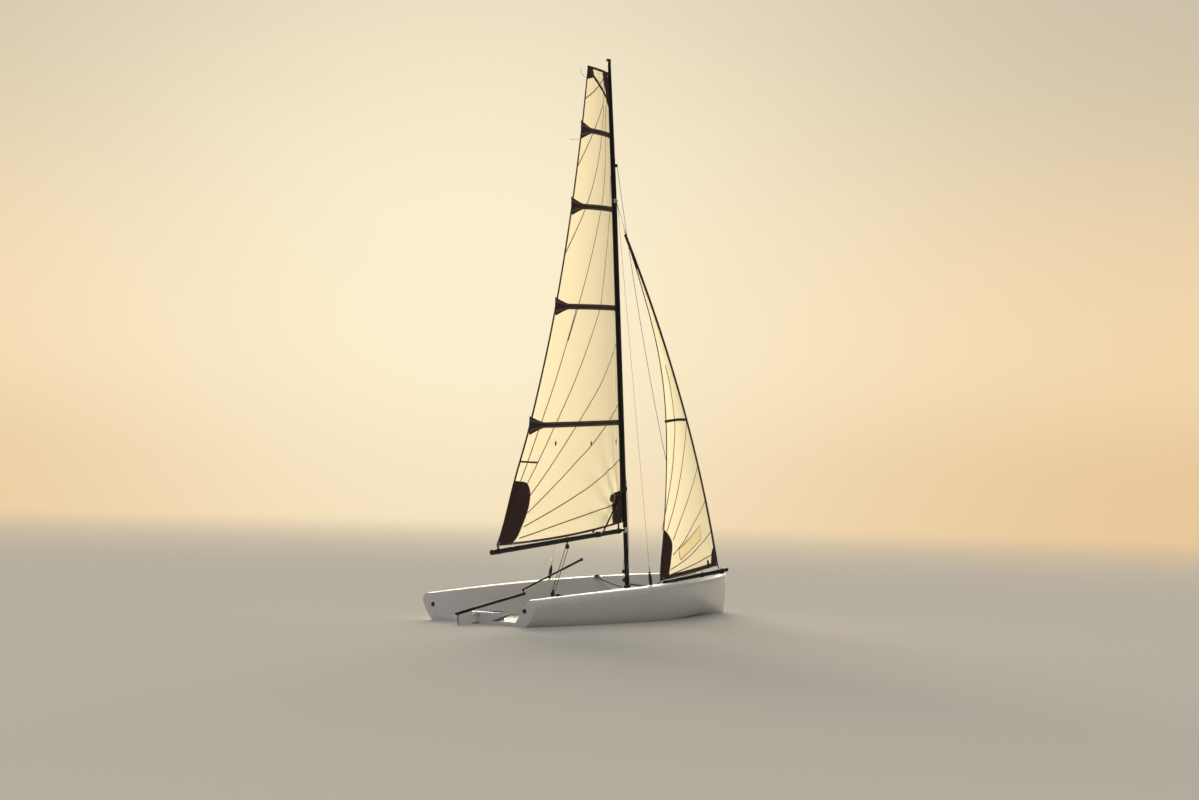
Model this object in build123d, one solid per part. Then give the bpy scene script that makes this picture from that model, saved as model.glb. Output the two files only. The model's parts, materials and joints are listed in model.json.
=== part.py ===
from build123d import *
from math import atan2, cos, degrees, radians, sin, sqrt
import os

# A two-handed sailing dinghy, rigged and afloat. Millimetres.
# +X runs to the bow, +Y to port, +Z up. The origin is on the centreline, at the waterline, at the transom.

# Hull
HULL_LENGTH = 4300
SKIN = 8
TOPSIDE_SWELL = 0.035
BOTTOM_SWELL = 0.05
ROLL_SWELL = 0.22
STEM_SLOPE = 0.3
FAR = 3000  # reach of a cutting block past the boat
FORE_RUN, SHOULDER_RUN, STEM_RUN = 1300, 600, 150  # from the stem back to the last three stations before it

# Stations of the hull, stern to bow: place along the length, then keel height, chine half-breadth and
# height, sheer half-breadth and height, width of the rolled deck edge, and height of the deck's top.
STATIONS = [
    # x, keel_z, chine_y, chine_z, sheer_y, sheer_z, roll_w, top_z
    (0, -35, 660, -5, 800, 190, 60, 283),
    (500, -72, 680, -14, 828, 224, 62, 313),
    (1000, -98, 690, -20, 849, 258, 64, 342),
    (1500, -115, 684, -20, 859, 295, 62, 368),
    (2000, -125, 655, -15, 837, 330, 60, 392),
    (HULL_LENGTH - FORE_RUN, -118, 455, 15, 665, 390, 50, 435),
    (HULL_LENGTH - SHOULDER_RUN, -98, 215, 50, 405, 425, 38, 458),
    (HULL_LENGTH - STEM_RUN, -74, 66, 80, 135, 445, 26, 466),
    (HULL_LENGTH, -50, 16, 95, 28, 452, 12, 468),
]

# Cockpit and foredeck wells. Both open upwards between sloping tank walls.
FLOOR_Z = 40
BULKHEAD_X = 2560
FOREDECK_Z = 290
WELL_WAIST, WELL_NOSE, WELL_TIP = 1150, 550, 170  # from the stem back to the foredeck well's last rows
COVE_SHARE, RIM_SHARE, ROUND_SWELL = 0.055, 0.065, 0.2  # of a well's depth
COCKPIT = [
    # x, floor_y, floor_z, rim_y, rim_z
    (-60, 530, FLOOR_Z, 697, 280),
    (1000, 520, FLOOR_Z, 690, 342),
    (2000, 470, FLOOR_Z, 660, 392),
    (BULKHEAD_X, 400, FLOOR_Z, 590, 417),
    (BULKHEAD_X + 70, 390, FOREDECK_Z, 575, 420),
]
FOREDECK = [
    # x, floor_y, floor_z, rim_y, rim_z
    (BULKHEAD_X + 40, 395, FOREDECK_Z, 580, 419),
    (HULL_LENGTH - WELL_WAIST, 300, 330, 455, 440),
    (HULL_LENGTH - WELL_NOSE, 130, 385, 250, 459),
    (HULL_LENGTH - WELL_TIP, 40, 440, 70, 466),
]
POD_LENGTH, POD_HALF, POD_TOP = 130, 200, 122
ABOVE_RIM = 90
BUNG_Y, BUNG_Z = 650, 165
PLINTH_HALF, PLINTH_TOP = 130, 302

# Centreboard and its case
BOARD_PIVOT = (2180, 0, -10)
BOARD_NOSE, BOARD_TAIL, BOARD_DEPTH, BOARD_THICK = 95, 165, 1010, 22
SLOT_HALF = BOARD_THICK / 2 + 3
SLOT_FORE = BOARD_PIVOT[0] + BOARD_NOSE + 37
SLOT_AFT = BOARD_PIVOT[0] - BOARD_DEPTH - 50
PLINTH_X = SLOT_FORE - 12
CASE_AFT, CASE_HALF, CASE_TOP, CASE_ROOF = SLOT_AFT - 15, SLOT_HALF + 18, 228, 12
PIN_R, RUNNING = 6, 0.05

# Mast. Everything on it is placed in the mast's own frame: x forward, z up the mast from its foot.
MAST_X, MAST_FOOT_Z = 2478, 325
RAKE = 5.5
MAST_LENGTH, MAST_R, MAST_TIP_R, MAST_WALL = 5915, 26, 16, 2.5
TAPER_V = 4450
TRACK_OUT, TRACK_HALF = 8, 4
LUFF_GAP = 12
HINGE_X = -(MAST_R + LUFF_GAP)
GOOSENECK_V = 658
GNAV_V = 1125
HOUNDS_V = 4362
HALYARD_BLOCK_V = HOUNDS_V + 398
MASTHEAD_HOLE_R = 5
GOOSE_R = 4
HOUNDS_OUT = 38
RIG = Pos(MAST_X, 0, MAST_FOOT_Z) * Rotation(0, -RAKE, 0)

# Boom and mainsail
BOOM_ANGLE = 8
BOOM_LIFT = 0.7
BOOM_R, BOOM_WALL = 28, 2
BOOM_START, BOOM_END = 70, 2610
BOOM_EYE_R = 5
CLEW_STRAP_U, TACK_STRAP_U = 2505, 100
BLOCK_U = 1180
GNAV_U, GNAV_FOOT_Y, GNAV_R = 540, 66, 9
GNAV_HEAD = (26, 34)
TACK_V = GOOSENECK_V + 90
SAIL_HALF = 3
STRIP, STRIP_GAP = 4, 0.15
MAIN_TWIST, TWIST_SHAPE = 12, 0.7
MAIN = [
    # height, chord, camber as a share of the chord
    (TACK_V, 2550, 0.020),
    (1400, 2350, 0.040),
    (1960, 2100, 0.050),
    (3180, 1590, 0.052),
    (4270, 1186, 0.048),
    (5100, 900, 0.040),
    (MAST_LENGTH - 120, 672, 0.030),
]
BATTEN_TALL, FLARE_LONG, FLARE_TALL = 45, 245, 200
MAIN_BATTENS = [
    # height at the luff, height at the leech
    (1875, 1964),
    (3160, 3198),
    (4265, 4270),
    (5090, 5105),
]

# Jib: its luff turns about the line from the stem head to the hounds
TACK = (HULL_LENGTH - 100, 0, 520)
STAY = Vector(*(RIG * Pos(HOUNDS_OUT, 0, HOUNDS_V - 10)).position) - Vector(*TACK)
PENDANT = 353
JIB_ANGLE = 6
JIB_HEAD_V = STAY.length - PENDANT
JIB_FOOT = TACK[0] - MAST_X - 392
JIB_LEAN = atan2(-STAY.X, STAY.Z)
JIB_FOOT_V = 25
JIB_SAG = 135
LUFF_R = 5
JIB_HALF = 2.5
JIB_TWIST = 6
JIB = [
    # height, chord as a share of the foot, camber as a share of the chord
    (40, 1.000, 0.020),
    (560, 0.970, 0.045),
    (1000, 0.797, 0.055),
    (1500, 0.590, 0.058),
    (2000, 0.395, 0.058),
    (2500, 0.235, 0.055),
    (3000, 0.135, 0.050),
    (3600, 0.071, 0.040),
    (JIB_HEAD_V - 20, 0.018, 0.020),
]
TRACK_Z = 335
CAR_U = JIB_FOOT - 29
CAR_V = (TRACK_Z - TACK[2] + CAR_U * sin(JIB_LEAN)) / cos(JIB_LEAN)
CLEW_U, CLEW_V = JIB_FOOT - 68, CAR_V + 62
TRACK_WIDE, TRACK_TALL, TRACK_SWEEP = 18, 14, 16
CAR_GAP, CAR_WALL, CAR_TURN = 1, 8, 1.6
TRACK_FOOT, TRACK_FOOT_R, STROP_R = 90, 5, 4
JIB_LUFF_GAP = 0.3
JIB_BATTEN, JIB_BATTEN_TALL = (1960, 2140), 28
STAY_PIN_R = 3

# Standing rigging
WIRE_R = 2
CHAINPLATE = (1975, 735, 391)
ADJUSTER, ADJUSTER_HOLES, ADJUSTER_HOLE_R = 130, 6, 2.6

# Rudder and tiller
PINTLE_X, PINTLE_R = -60, 5
BLADE_PIVOT = (-190, 0, 10)
BLADE_NOSE, BLADE_TAIL, BLADE_THICK, BLADE_DEPTH = 85, -140, 20, 690
CHEEK, CHEEK_GAP, CHEEK_ROUND = 4, 2, 9
TILLER_R = 15
TILLER_AFT = (-330, 0, 112)
TILLER_FORE = (735, 0, 298)
EXTENSION = 1000
EXTENSION_RISE = 18
JOINT_TALL = 45

# Bowsprit
POLE_R = 22
POLE_RUN, POLE_Y, POLE_AHEAD = 1180, -62, 40
POLE_FORE = (HULL_LENGTH - POLE_AHEAD, POLE_Y, 507)
POLE_AFT = (POLE_FORE[0] - POLE_RUN, POLE_Y, 378)
GUIDES_AT = [HULL_LENGTH - 500, HULL_LENGTH - 110]
CHOCK_AT = POLE_AFT[0] + 50
GUIDE_GAP = 0.3
TACK_LINE_R = 5

# Cockpit gear
STRAP_AFT, STRAP_FORE, STRAP_Y = 420, 2150, 230
SWIVEL_X = 1190

PARTS = {}


def rod(start, end, radius):
    """A round bar between two points."""
    a, b = Vector(*start), Vector(*end)
    along = b - a
    return Plane(origin=a, z_dir=along) * Cylinder(
        radius, along.length, align=(Align.CENTER, Align.CENTER, Align.MIN))


def bored(start, end, outer, inner):
    """A round sleeve between two points."""
    return rod(start, end, outer) - rod(start, end, inner)


def block(low, high):
    """A box between two corners."""
    size = [h - l for l, h in zip(low, high)]
    return Pos(*[(l + h) / 2 for l, h in zip(low, high)]) * Box(*size)


def pulley(radius, width):
    """A block's wheel between two cheeks, turning about Y: a grooved sheave, its cheeks and its hub."""
    cheek = width * 0.18
    wheel = Cylinder(radius * 0.88, width - 2 * cheek) - Torus(radius * 0.97, width * 0.22)
    faces = Pos(0, 0, (width - cheek) / 2) * Cylinder(radius, cheek)
    faces += Pos(0, 0, (cheek - width) / 2) * Cylinder(radius, cheek)
    return Rotation(90, 0, 0) * (wheel + faces + Cylinder(radius * 0.28, width + 3))


def at_point(x, point, side):
    """A section's point (half-breadth, height) on one side of the boat."""
    return (x, side * point[0], point[1])


def bowed(x, a, b, share, side):
    """An edge of a section from a to b: an arc that swells outwards by a share of its chord."""
    dy, dz = b[0] - a[0], b[1] - a[1]
    if share == 0:
        return Line(at_point(x, a, side), at_point(x, b, side))
    middle = ((a[0] + b[0]) / 2 + share * dz, (a[1] + b[1]) / 2 - share * dy)
    return ThreePointArc(at_point(x, a, side), at_point(x, middle, side), at_point(x, b, side))


def section(x, half):
    """A closed face across the boat, from the port half's edges (from, to, swell)."""
    return make_face(Curve() + [bowed(x, *edge, side) for side in (1, -1) for edge in half])


def hull_lines(row):
    """Keel, chine and sheer of one station, outside and inside the skin."""
    x, keel_z, chine_y, chine_z, sheer_y, sheer_z, roll_w, top_z = row
    deadrise = atan2(chine_z - keel_z, chine_y)
    flare = atan2(sheer_y - chine_y, sheer_z - chine_z)
    outside = (0, keel_z), (chine_y, chine_z), (sheer_y, sheer_z)
    inside = ((0, keel_z + SKIN / max(cos(deadrise), STEM_SLOPE)),
              (chine_y - SKIN, chine_z + SKIN * (1 - sin(flare))),
              (sheer_y - SKIN / cos(flare), sheer_z))
    return outside, inside


def skin_section(row):
    (keel, chine, sheer), (in_keel, in_chine, in_sheer) = hull_lines(row)
    return section(row[0], [
        (keel, chine, BOTTOM_SWELL), (chine, sheer, TOPSIDE_SWELL), (sheer, in_sheer, 0),
        (in_chine, in_sheer, TOPSIDE_SWELL), (in_keel, in_chine, BOTTOM_SWELL)])


def deck_section(row):
    sheer_y, sheer_z, roll_w, top_z = row[4:]
    (_, _, sheer), (in_keel, in_chine, in_sheer) = hull_lines(row)
    return section(row[0], [
        (in_keel, in_chine, BOTTOM_SWELL), (in_chine, in_sheer, TOPSIDE_SWELL), (in_sheer, sheer, 0),
        (sheer, (sheer_y - roll_w, top_z), ROLL_SWELL), ((sheer_y - roll_w, top_z), (0, top_z), 0)])


def well(rows):
    """The space of an open well: a floor, a cove, sloping walls, a rounded rim, and the space above it."""
    faces = []
    for x, floor_y, floor_z, rim_y, rim_z in rows:
        depth = rim_z - floor_z
        slope, cove, edge = (rim_y - floor_y) / depth, COVE_SHARE * depth, RIM_SHARE * depth
        floor, foot = (floor_y - cove, floor_z), (floor_y + slope * cove, floor_z + cove)
        lip, rim = (rim_y - slope * edge, rim_z - edge), (rim_y + edge, rim_z)
        top = (rim[0] + ABOVE_RIM, rim_z + ABOVE_RIM)
        faces.append(section(x, [((0, floor_z), floor, 0), (floor, foot, ROUND_SWELL), (foot, lip, 0),
                                 (lip, rim, -ROUND_SWELL), (rim, top, 0), (top, (0, top[1]), 0)]))
    return loft(faces, ruled=True)


def hull_and_deck():
    skin = loft([skin_section(row) for row in STATIONS])
    deck = loft([deck_section(row) for row in STATIONS])
    pod = extrude(Plane.XZ * make_face(Polyline(
        (-POD_LENGTH, 0), (-POD_LENGTH, POD_TOP), (POD_LENGTH, POD_TOP), (POD_LENGTH * 1.8, 0), close=True)),
        POD_HALF, both=True)
    plinth = block((PLINTH_X, -PLINTH_HALF, 0), (BULKHEAD_X + 200, PLINTH_HALF, PLINTH_TOP))
    cockpit = well(COCKPIT) - pod - plinth
    foredeck = well(FOREDECK)
    slot = block((SLOT_AFT, -SLOT_HALF, -300), (SLOT_FORE, SLOT_HALF, CASE_TOP - CASE_ROOF))
    PARTS["hull_skin"] = skin - slot
    PARTS["deck_moulding"] = deck - cockpit - foredeck - slot
    case = block((CASE_AFT, -CASE_HALF, FLOOR_Z), (PLINTH_X, CASE_HALF, CASE_TOP))
    rim = case.edges().filter_by(Axis.X).group_by(Axis.Z)[-1]
    PARTS["centreboard_case"] = fillet(rim, CASE_ROOF - 1) - slot
    bungs = Part()
    for side in (1, -1):
        spot = (0, side * BUNG_Y, BUNG_Z)
        bungs += rod((-4, spot[1], spot[2]), (0, spot[1], spot[2]), 24)
        bungs += rod((-9, spot[1], spot[2]), (-4, spot[1], spot[2]), 15)
    PARTS["transom_bungs"] = bungs


def centreboard():
    x, _, z = BOARD_PIVOT
    nose, tail, depth = BOARD_NOSE, -BOARD_TAIL, -BOARD_DEPTH
    outline = make_face(Curve() + [
        Line((nose, 0), (nose, depth + 130)),
        ThreePointArc((nose, depth + 130), (nose - 32, depth + 38), (nose - 110, depth)),
        Line((nose - 110, depth), (tail + 40, depth)),
        ThreePointArc((tail + 40, depth), (tail + 11, depth + 11), (tail, depth + 40)),
        Line((tail, depth + 40), (tail, 30)),
        ThreePointArc((tail, 30), (-35, 92), (nose, 0))])
    blank = extrude(Plane.XZ * outline, BOARD_THICK, both=True)
    blade = Pos(0, 0, -BOARD_DEPTH) * extrude(foil(nose, tail, BOARD_THICK), BOARD_DEPTH + 120)
    bore = rod((0, -50, 0), (0, 50, 0), PIN_R + RUNNING)
    PARTS["centreboard"] = Pos(x, 0, z) * (blank & blade) - Pos(x, 0, z) * bore
    PARTS["centreboard_pin"] = rod((x, -SLOT_HALF, z), (x, SLOT_HALF, z), PIN_R)


def foil(nose, tail, thick):
    """A foil's section: round nose, flat middle, tapering to a blunt tail."""
    half, edge = thick / 2, 1.5
    shoulder, hip = nose - half, tail + (nose - tail) * 0.42
    return make_face(Curve() + [
        ThreePointArc((shoulder, half), (nose, 0), (shoulder, -half)),
        Line((shoulder, -half), (hip, -half)), Line((hip, -half), (tail, -edge)),
        Line((tail, -edge), (tail, edge)), Line((tail, edge), (hip, half)),
        Line((hip, half), (shoulder, half))])


def mast_and_fittings():
    step = rod((0, 0, -40), (0, 0, 34), MAST_R + 12) - rod((0, 0, 0), (0, 0, 60), MAST_R)
    base = block((MAST_X - 90, -55, PLINTH_TOP), (MAST_X + 90, 55, PLINTH_TOP + 8))
    above = block((MAST_X - 200, -200, PLINTH_TOP), (MAST_X + 200, 200, 600))
    socket = RIG * rod((0, 0, 0), (0, 0, 60), MAST_R)
    PARTS["mast_step"] = ((RIG * step) & above) + (base - socket)

    def tube(radius, tip_radius, low, high):
        straight = rod((0, 0, low), (0, 0, TAPER_V), radius)
        tip_x = tip_radius - radius
        taper = loft([Pos(0, 0, TAPER_V) * Circle(radius), Pos(tip_x, 0, high) * Circle(tip_radius)])
        return straight + taper

    solid = tube(MAST_R, MAST_TIP_R, 0, MAST_LENGTH)
    bore = (rod((0, 0, 0), (0, 0, TAPER_V), MAST_R - MAST_WALL)
            + loft([Pos(0, 0, TAPER_V) * Circle(MAST_R - MAST_WALL),
                    Pos(MAST_TIP_R - MAST_R, 0, MAST_LENGTH) * Circle(MAST_TIP_R - MAST_WALL)]))
    PARTS["mast"] = RIG * (solid - bore)
    track = block((-MAST_R - TRACK_OUT, -TRACK_HALF, TACK_V - 40),
                  (-MAST_R + 4, TRACK_HALF, MAST_LENGTH - 30))
    PARTS["mast_track"] = RIG * (track - tube(MAST_R, MAST_TIP_R, 0, MAST_LENGTH))
    tip_x = MAST_TIP_R - MAST_R
    crane = Pos(tip_x, 0, MAST_LENGTH) * (
        rod((0, 0, 0), (0, 0, 30), MAST_TIP_R + 3)
        + block((-MAST_TIP_R - 26, -7, 4), (0, 7, 34)))
    PARTS["masthead"] = RIG * (crane - rod((tip_x - MAST_TIP_R - 14, -20, MAST_LENGTH + 19),
                                           (tip_x - MAST_TIP_R - 14, 20, MAST_LENGTH + 19), MASTHEAD_HOLE_R))
    cheeks = Part()
    for low in (GOOSENECK_V - 20, GOOSENECK_V + 13):
        cheeks += block((HINGE_X - 12, -14, low), (-MAST_R + 6, 14, low + 7))
    cheeks += rod((HINGE_X, 0, GOOSENECK_V - 26), (HINGE_X, 0, GOOSENECK_V + 26), GOOSE_R)
    cheeks += bored((0, 0, GOOSENECK_V - 30), (0, 0, GOOSENECK_V + 30), MAST_R + 3, MAST_R)
    PARTS["gooseneck_bracket"] = RIG * (cheeks - rod((0, 0, 0), (0, 0, TAPER_V), MAST_R))
    gnav = bored((0, 0, GNAV_V - 25), (0, 0, GNAV_V + 25), MAST_R + 3, MAST_R)
    for side in (1, -1):
        low, high = sorted((side * (MAST_R + 1), side * (MAST_R + 14)))
        gnav += block((-10, low, GNAV_V - 16), (10, high, GNAV_V + 16))
    gnav -= block((-60, -TRACK_HALF - 2, 0), (-MAST_R + 8, TRACK_HALF + 2, TAPER_V))
    gnav -= rod((0, 0, 0), (0, 0, TAPER_V), MAST_R)
    PARTS["gnav_bracket"] = RIG * gnav
    hounds = rod((0, 0, HOUNDS_V - 25), (0, 0, HOUNDS_V + 25), MAST_R + 3)
    for side in (1, -1):
        low, high = sorted((side * (MAST_R - 4), side * (HOUNDS_OUT + 7)))
        hounds += block((-12, low, HOUNDS_V - 4), (12, high, HOUNDS_V + 4))
    hounds += block((MAST_R - 4, -4, HOUNDS_V - 22), (HOUNDS_OUT + 9, 4, HOUNDS_V + 14))
    hounds -= tube(MAST_R, MAST_TIP_R, 0, MAST_LENGTH)
    hounds -= block((-60, -TRACK_HALF, 0), (-MAST_R + 4, TRACK_HALF, MAST_LENGTH))
    PARTS["hounds_fitting"] = RIG * hounds
    radius = MAST_R + (MAST_TIP_R - MAST_R) * (HALYARD_BLOCK_V - TAPER_V) / (MAST_LENGTH - TAPER_V)
    front = 2 * radius - MAST_R
    sheave = Pos(front + 30, 0, HALYARD_BLOCK_V) * pulley(19, 14)
    strap = block((front - 3, -3, HALYARD_BLOCK_V - 10), (front + 18, 3, HALYARD_BLOCK_V + 12))
    PARTS["gennaker_halyard_block"] = RIG * (sheave + strap - tube(MAST_R, MAST_TIP_R, 0, MAST_LENGTH))
    cleats = Part()
    for height in (95, 190):
        cleats += Pos(-MAST_R - 26, 0, height) * pulley(22, 18)
        cleats += block((-MAST_R - 10, -5, height - 14), (-MAST_R + 3, 5, height + 14))
    PARTS["halyard_cleats"] = RIG * (cleats - rod((0, 0, 0), (0, 0, TAPER_V), MAST_R))


def standing_rigging():
    for side, name in ((1, "port"), (-1, "starboard")):
        foot = Vector(CHAINPLATE[0], side * CHAINPLATE[1], CHAINPLATE[2])
        top = Vector(*(RIG * Pos(0, side * HOUNDS_OUT, HOUNDS_V - 4.5)).position)
        along = (top - foot).normalized()
        flat = Plane(origin=foot, x_dir=(1, 0, 0), z_dir=along)
        plate = block((foot.X - 30, foot.Y - 20, foot.Z - 3), (foot.X + 30, foot.Y + 20, foot.Z + 5))
        lug = flat * block((-11, -2, -10), (11, 2, 34))
        lug &= block((foot.X - 50, foot.Y - 50, foot.Z), (foot.X + 50, foot.Y + 50, foot.Z + 80))
        PARTS[f"chainplate_{name}"] = plate + lug - PARTS["deck_moulding"]
        straps = Part()
        for face in (2, -2 - 3):
            straps += flat * block((-10, face, 16), (10, face + 3, 16 + ADJUSTER))
        straps += flat * block((-10, -2, 60), (10, 2, 16 + ADJUSTER))
        for step in range(ADJUSTER_HOLES):
            spot = 16 + ADJUSTER * (step + 1.5) / (ADJUSTER_HOLES + 1.5)
            straps -= flat * rod((0, -20, spot), (0, 20, spot), ADJUSTER_HOLE_R)
        PARTS[f"shroud_adjuster_{name}"] = straps
        PARTS[f"shroud_{name}"] = rod(foot + along * (16 + ADJUSTER), top, WIRE_R)


def chord_at(v):
    """The mainsail's chord at a height, between its rows."""
    for (v0, c0, _), (v1, c1, _) in zip(MAIN, MAIN[1:]):
        if v0 <= v <= v1:
            return c0 + (c1 - c0) * (v - v0) / (v1 - v0)
    return MAIN[-1][1]


def pocket(edge, height, slope):
    """A cutter with a batten pocket's outline, from (distance aft, half height) points, rising aft."""
    far, half = edge[-1]
    edge = edge + [(far + 100, half)]
    upper = [(-u, height + u * slope + h) for u, h in edge]
    lower = [(-u, height + u * slope - h) for u, h in reversed(edge)]
    return extrude(Plane.XZ * make_face(Polyline(*upper, *lower, close=True)), FAR, both=True)


def boom_and_sail():
    spar = Pos(-BOOM_START, 0, GOOSENECK_V) * Rotation(0, BOOM_LIFT, 0)
    eye = rod((0, 0, GOOSENECK_V - 12.5), (0, 0, GOOSENECK_V + 12.5), 8)
    eye += block((-BOOM_START, -8, GOOSENECK_V - 12.5), (0, 8, GOOSENECK_V + 12.5))
    eye += spar * rod((-30, 0, 0), (0, 0, 0), BOOM_R - BOOM_WALL)
    eye -= rod((0, 0, 0), (0, 0, TAPER_V), GOOSE_R + RUNNING)
    PARTS["gooseneck_toggle"] = BOOM * eye
    length = BOOM_END - BOOM_START
    PARTS["boom"] = BOOM * spar * bored((-length, 0, 0), (0, 0, 0), BOOM_R, BOOM_R - BOOM_WALL)
    cap = rod((-length - 14, 0, 0), (-length, 0, 0), BOOM_R)
    cap += rod((-length, 0, 0), (-length + 30, 0, 0), BOOM_R - BOOM_WALL)
    cap -= rod((-length - 7, 0, -60), (-length - 7, 0, 60), BOOM_EYE_R)
    PARTS["boom_end"] = BOOM * spar * cap

    def leech(v, chord, camber, offset):
        turn = radians(MAIN_TWIST * (max(v - TACK_V, 0) / (MAIN[-1][0] - TACK_V)) ** TWIST_SHAPE)
        points = []
        for along, out in ((0, offset), (chord / 2, chord * camber + offset), (chord, offset)):
            points.append((-along * cos(turn) + out * sin(turn), -along * sin(turn) - out * cos(turn), v))
        return points

    def layer(inner, outer):
        """A loft of the sail's surface between two distances from its middle, leeward positive."""
        faces = []
        for v, chord, camber in MAIN:
            a, b = leech(v, chord, camber, outer), leech(v, chord, camber, inner)
            faces.append(make_face(Curve() + [ThreePointArc(*a), Line(a[2], b[2]),
                                              ThreePointArc(*b), Line(b[0], a[0])]))
        return loft(faces)

    PARTS["mainsail"] = BOOM * layer(-SAIL_HALF, SAIL_HALF)
    facing = layer(-SAIL_HALF - STRIP_GAP - STRIP, -SAIL_HALF - STRIP_GAP)
    strips = Part()
    for luff_v, leech_v in MAIN_BATTENS:
        chord = chord_at(leech_v)
        slope = (leech_v - luff_v) / chord
        edge = [(LUFF_GAP, BATTEN_TALL / 2), (chord - FLARE_LONG, BATTEN_TALL / 2), (chord, FLARE_TALL / 2)]
        strips += facing & pocket(edge, luff_v, slope)
    PARTS["mainsail_battens"] = BOOM * strips

    def along_boom(u, low, high, radius):
        """A round bar along the boom's axis, from low to high about the place u aft of the hinge."""
        middle = BOOM_START - u
        return spar * rod((middle + low, 0, 0), (middle + high, 0, 0), radius)

    straps = Part()
    for u in (CLEW_STRAP_U, TACK_STRAP_U):
        web = block((-u - 12, -4, GOOSENECK_V), (-u + 12, 4, TACK_V))
        straps += along_boom(u, -14, 14, BOOM_R + 3) + web
        straps -= along_boom(u, -60, 60, BOOM_R)
    PARTS["sail_straps"] = BOOM * straps

    seat = GOOSENECK_V + (GNAV_U - BOOM_START) * sin(radians(BOOM_LIFT))
    wing = GNAV_FOOT_Y + 9
    saddle = along_boom(GNAV_U, -32, 32, BOOM_R + 5)
    saddle += block((-GNAV_U - 16, -wing, seat + 12), (-GNAV_U + 16, wing, seat + 24))
    PARTS["gnav_saddle"] = BOOM * (saddle - along_boom(GNAV_U, -60, 60, BOOM_R))
    legs = Part()
    for side in (1, -1):
        foot = Vector(-GNAV_U, side * GNAV_FOOT_Y, seat + 24)
        head = Vector(-GNAV_HEAD[0], side * GNAV_HEAD[1], GNAV_V)
        leg = rod(foot - (head - foot).normalized() * 20, head, GNAV_R)
        legs += leg & block((-FAR, -FAR, seat + 24), (0, FAR, FAR))
    PARTS["gnav_struts"] = BOOM * legs

    hanger = along_boom(BLOCK_U, -12, 12, BOOM_R + 3)
    under = GOOSENECK_V + (BLOCK_U - BOOM_START) * sin(radians(BOOM_LIFT)) - BOOM_R
    hanger += block((-BLOCK_U - 8, -3, under - 26), (-BLOCK_U + 8, 3, under + 4))
    hanger += Pos(-BLOCK_U, 0, under - 46) * pulley(26, 20)
    hanger -= along_boom(BLOCK_U, -60, 60, BOOM_R)
    PARTS["mainsheet_block"] = BOOM * hanger


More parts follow.
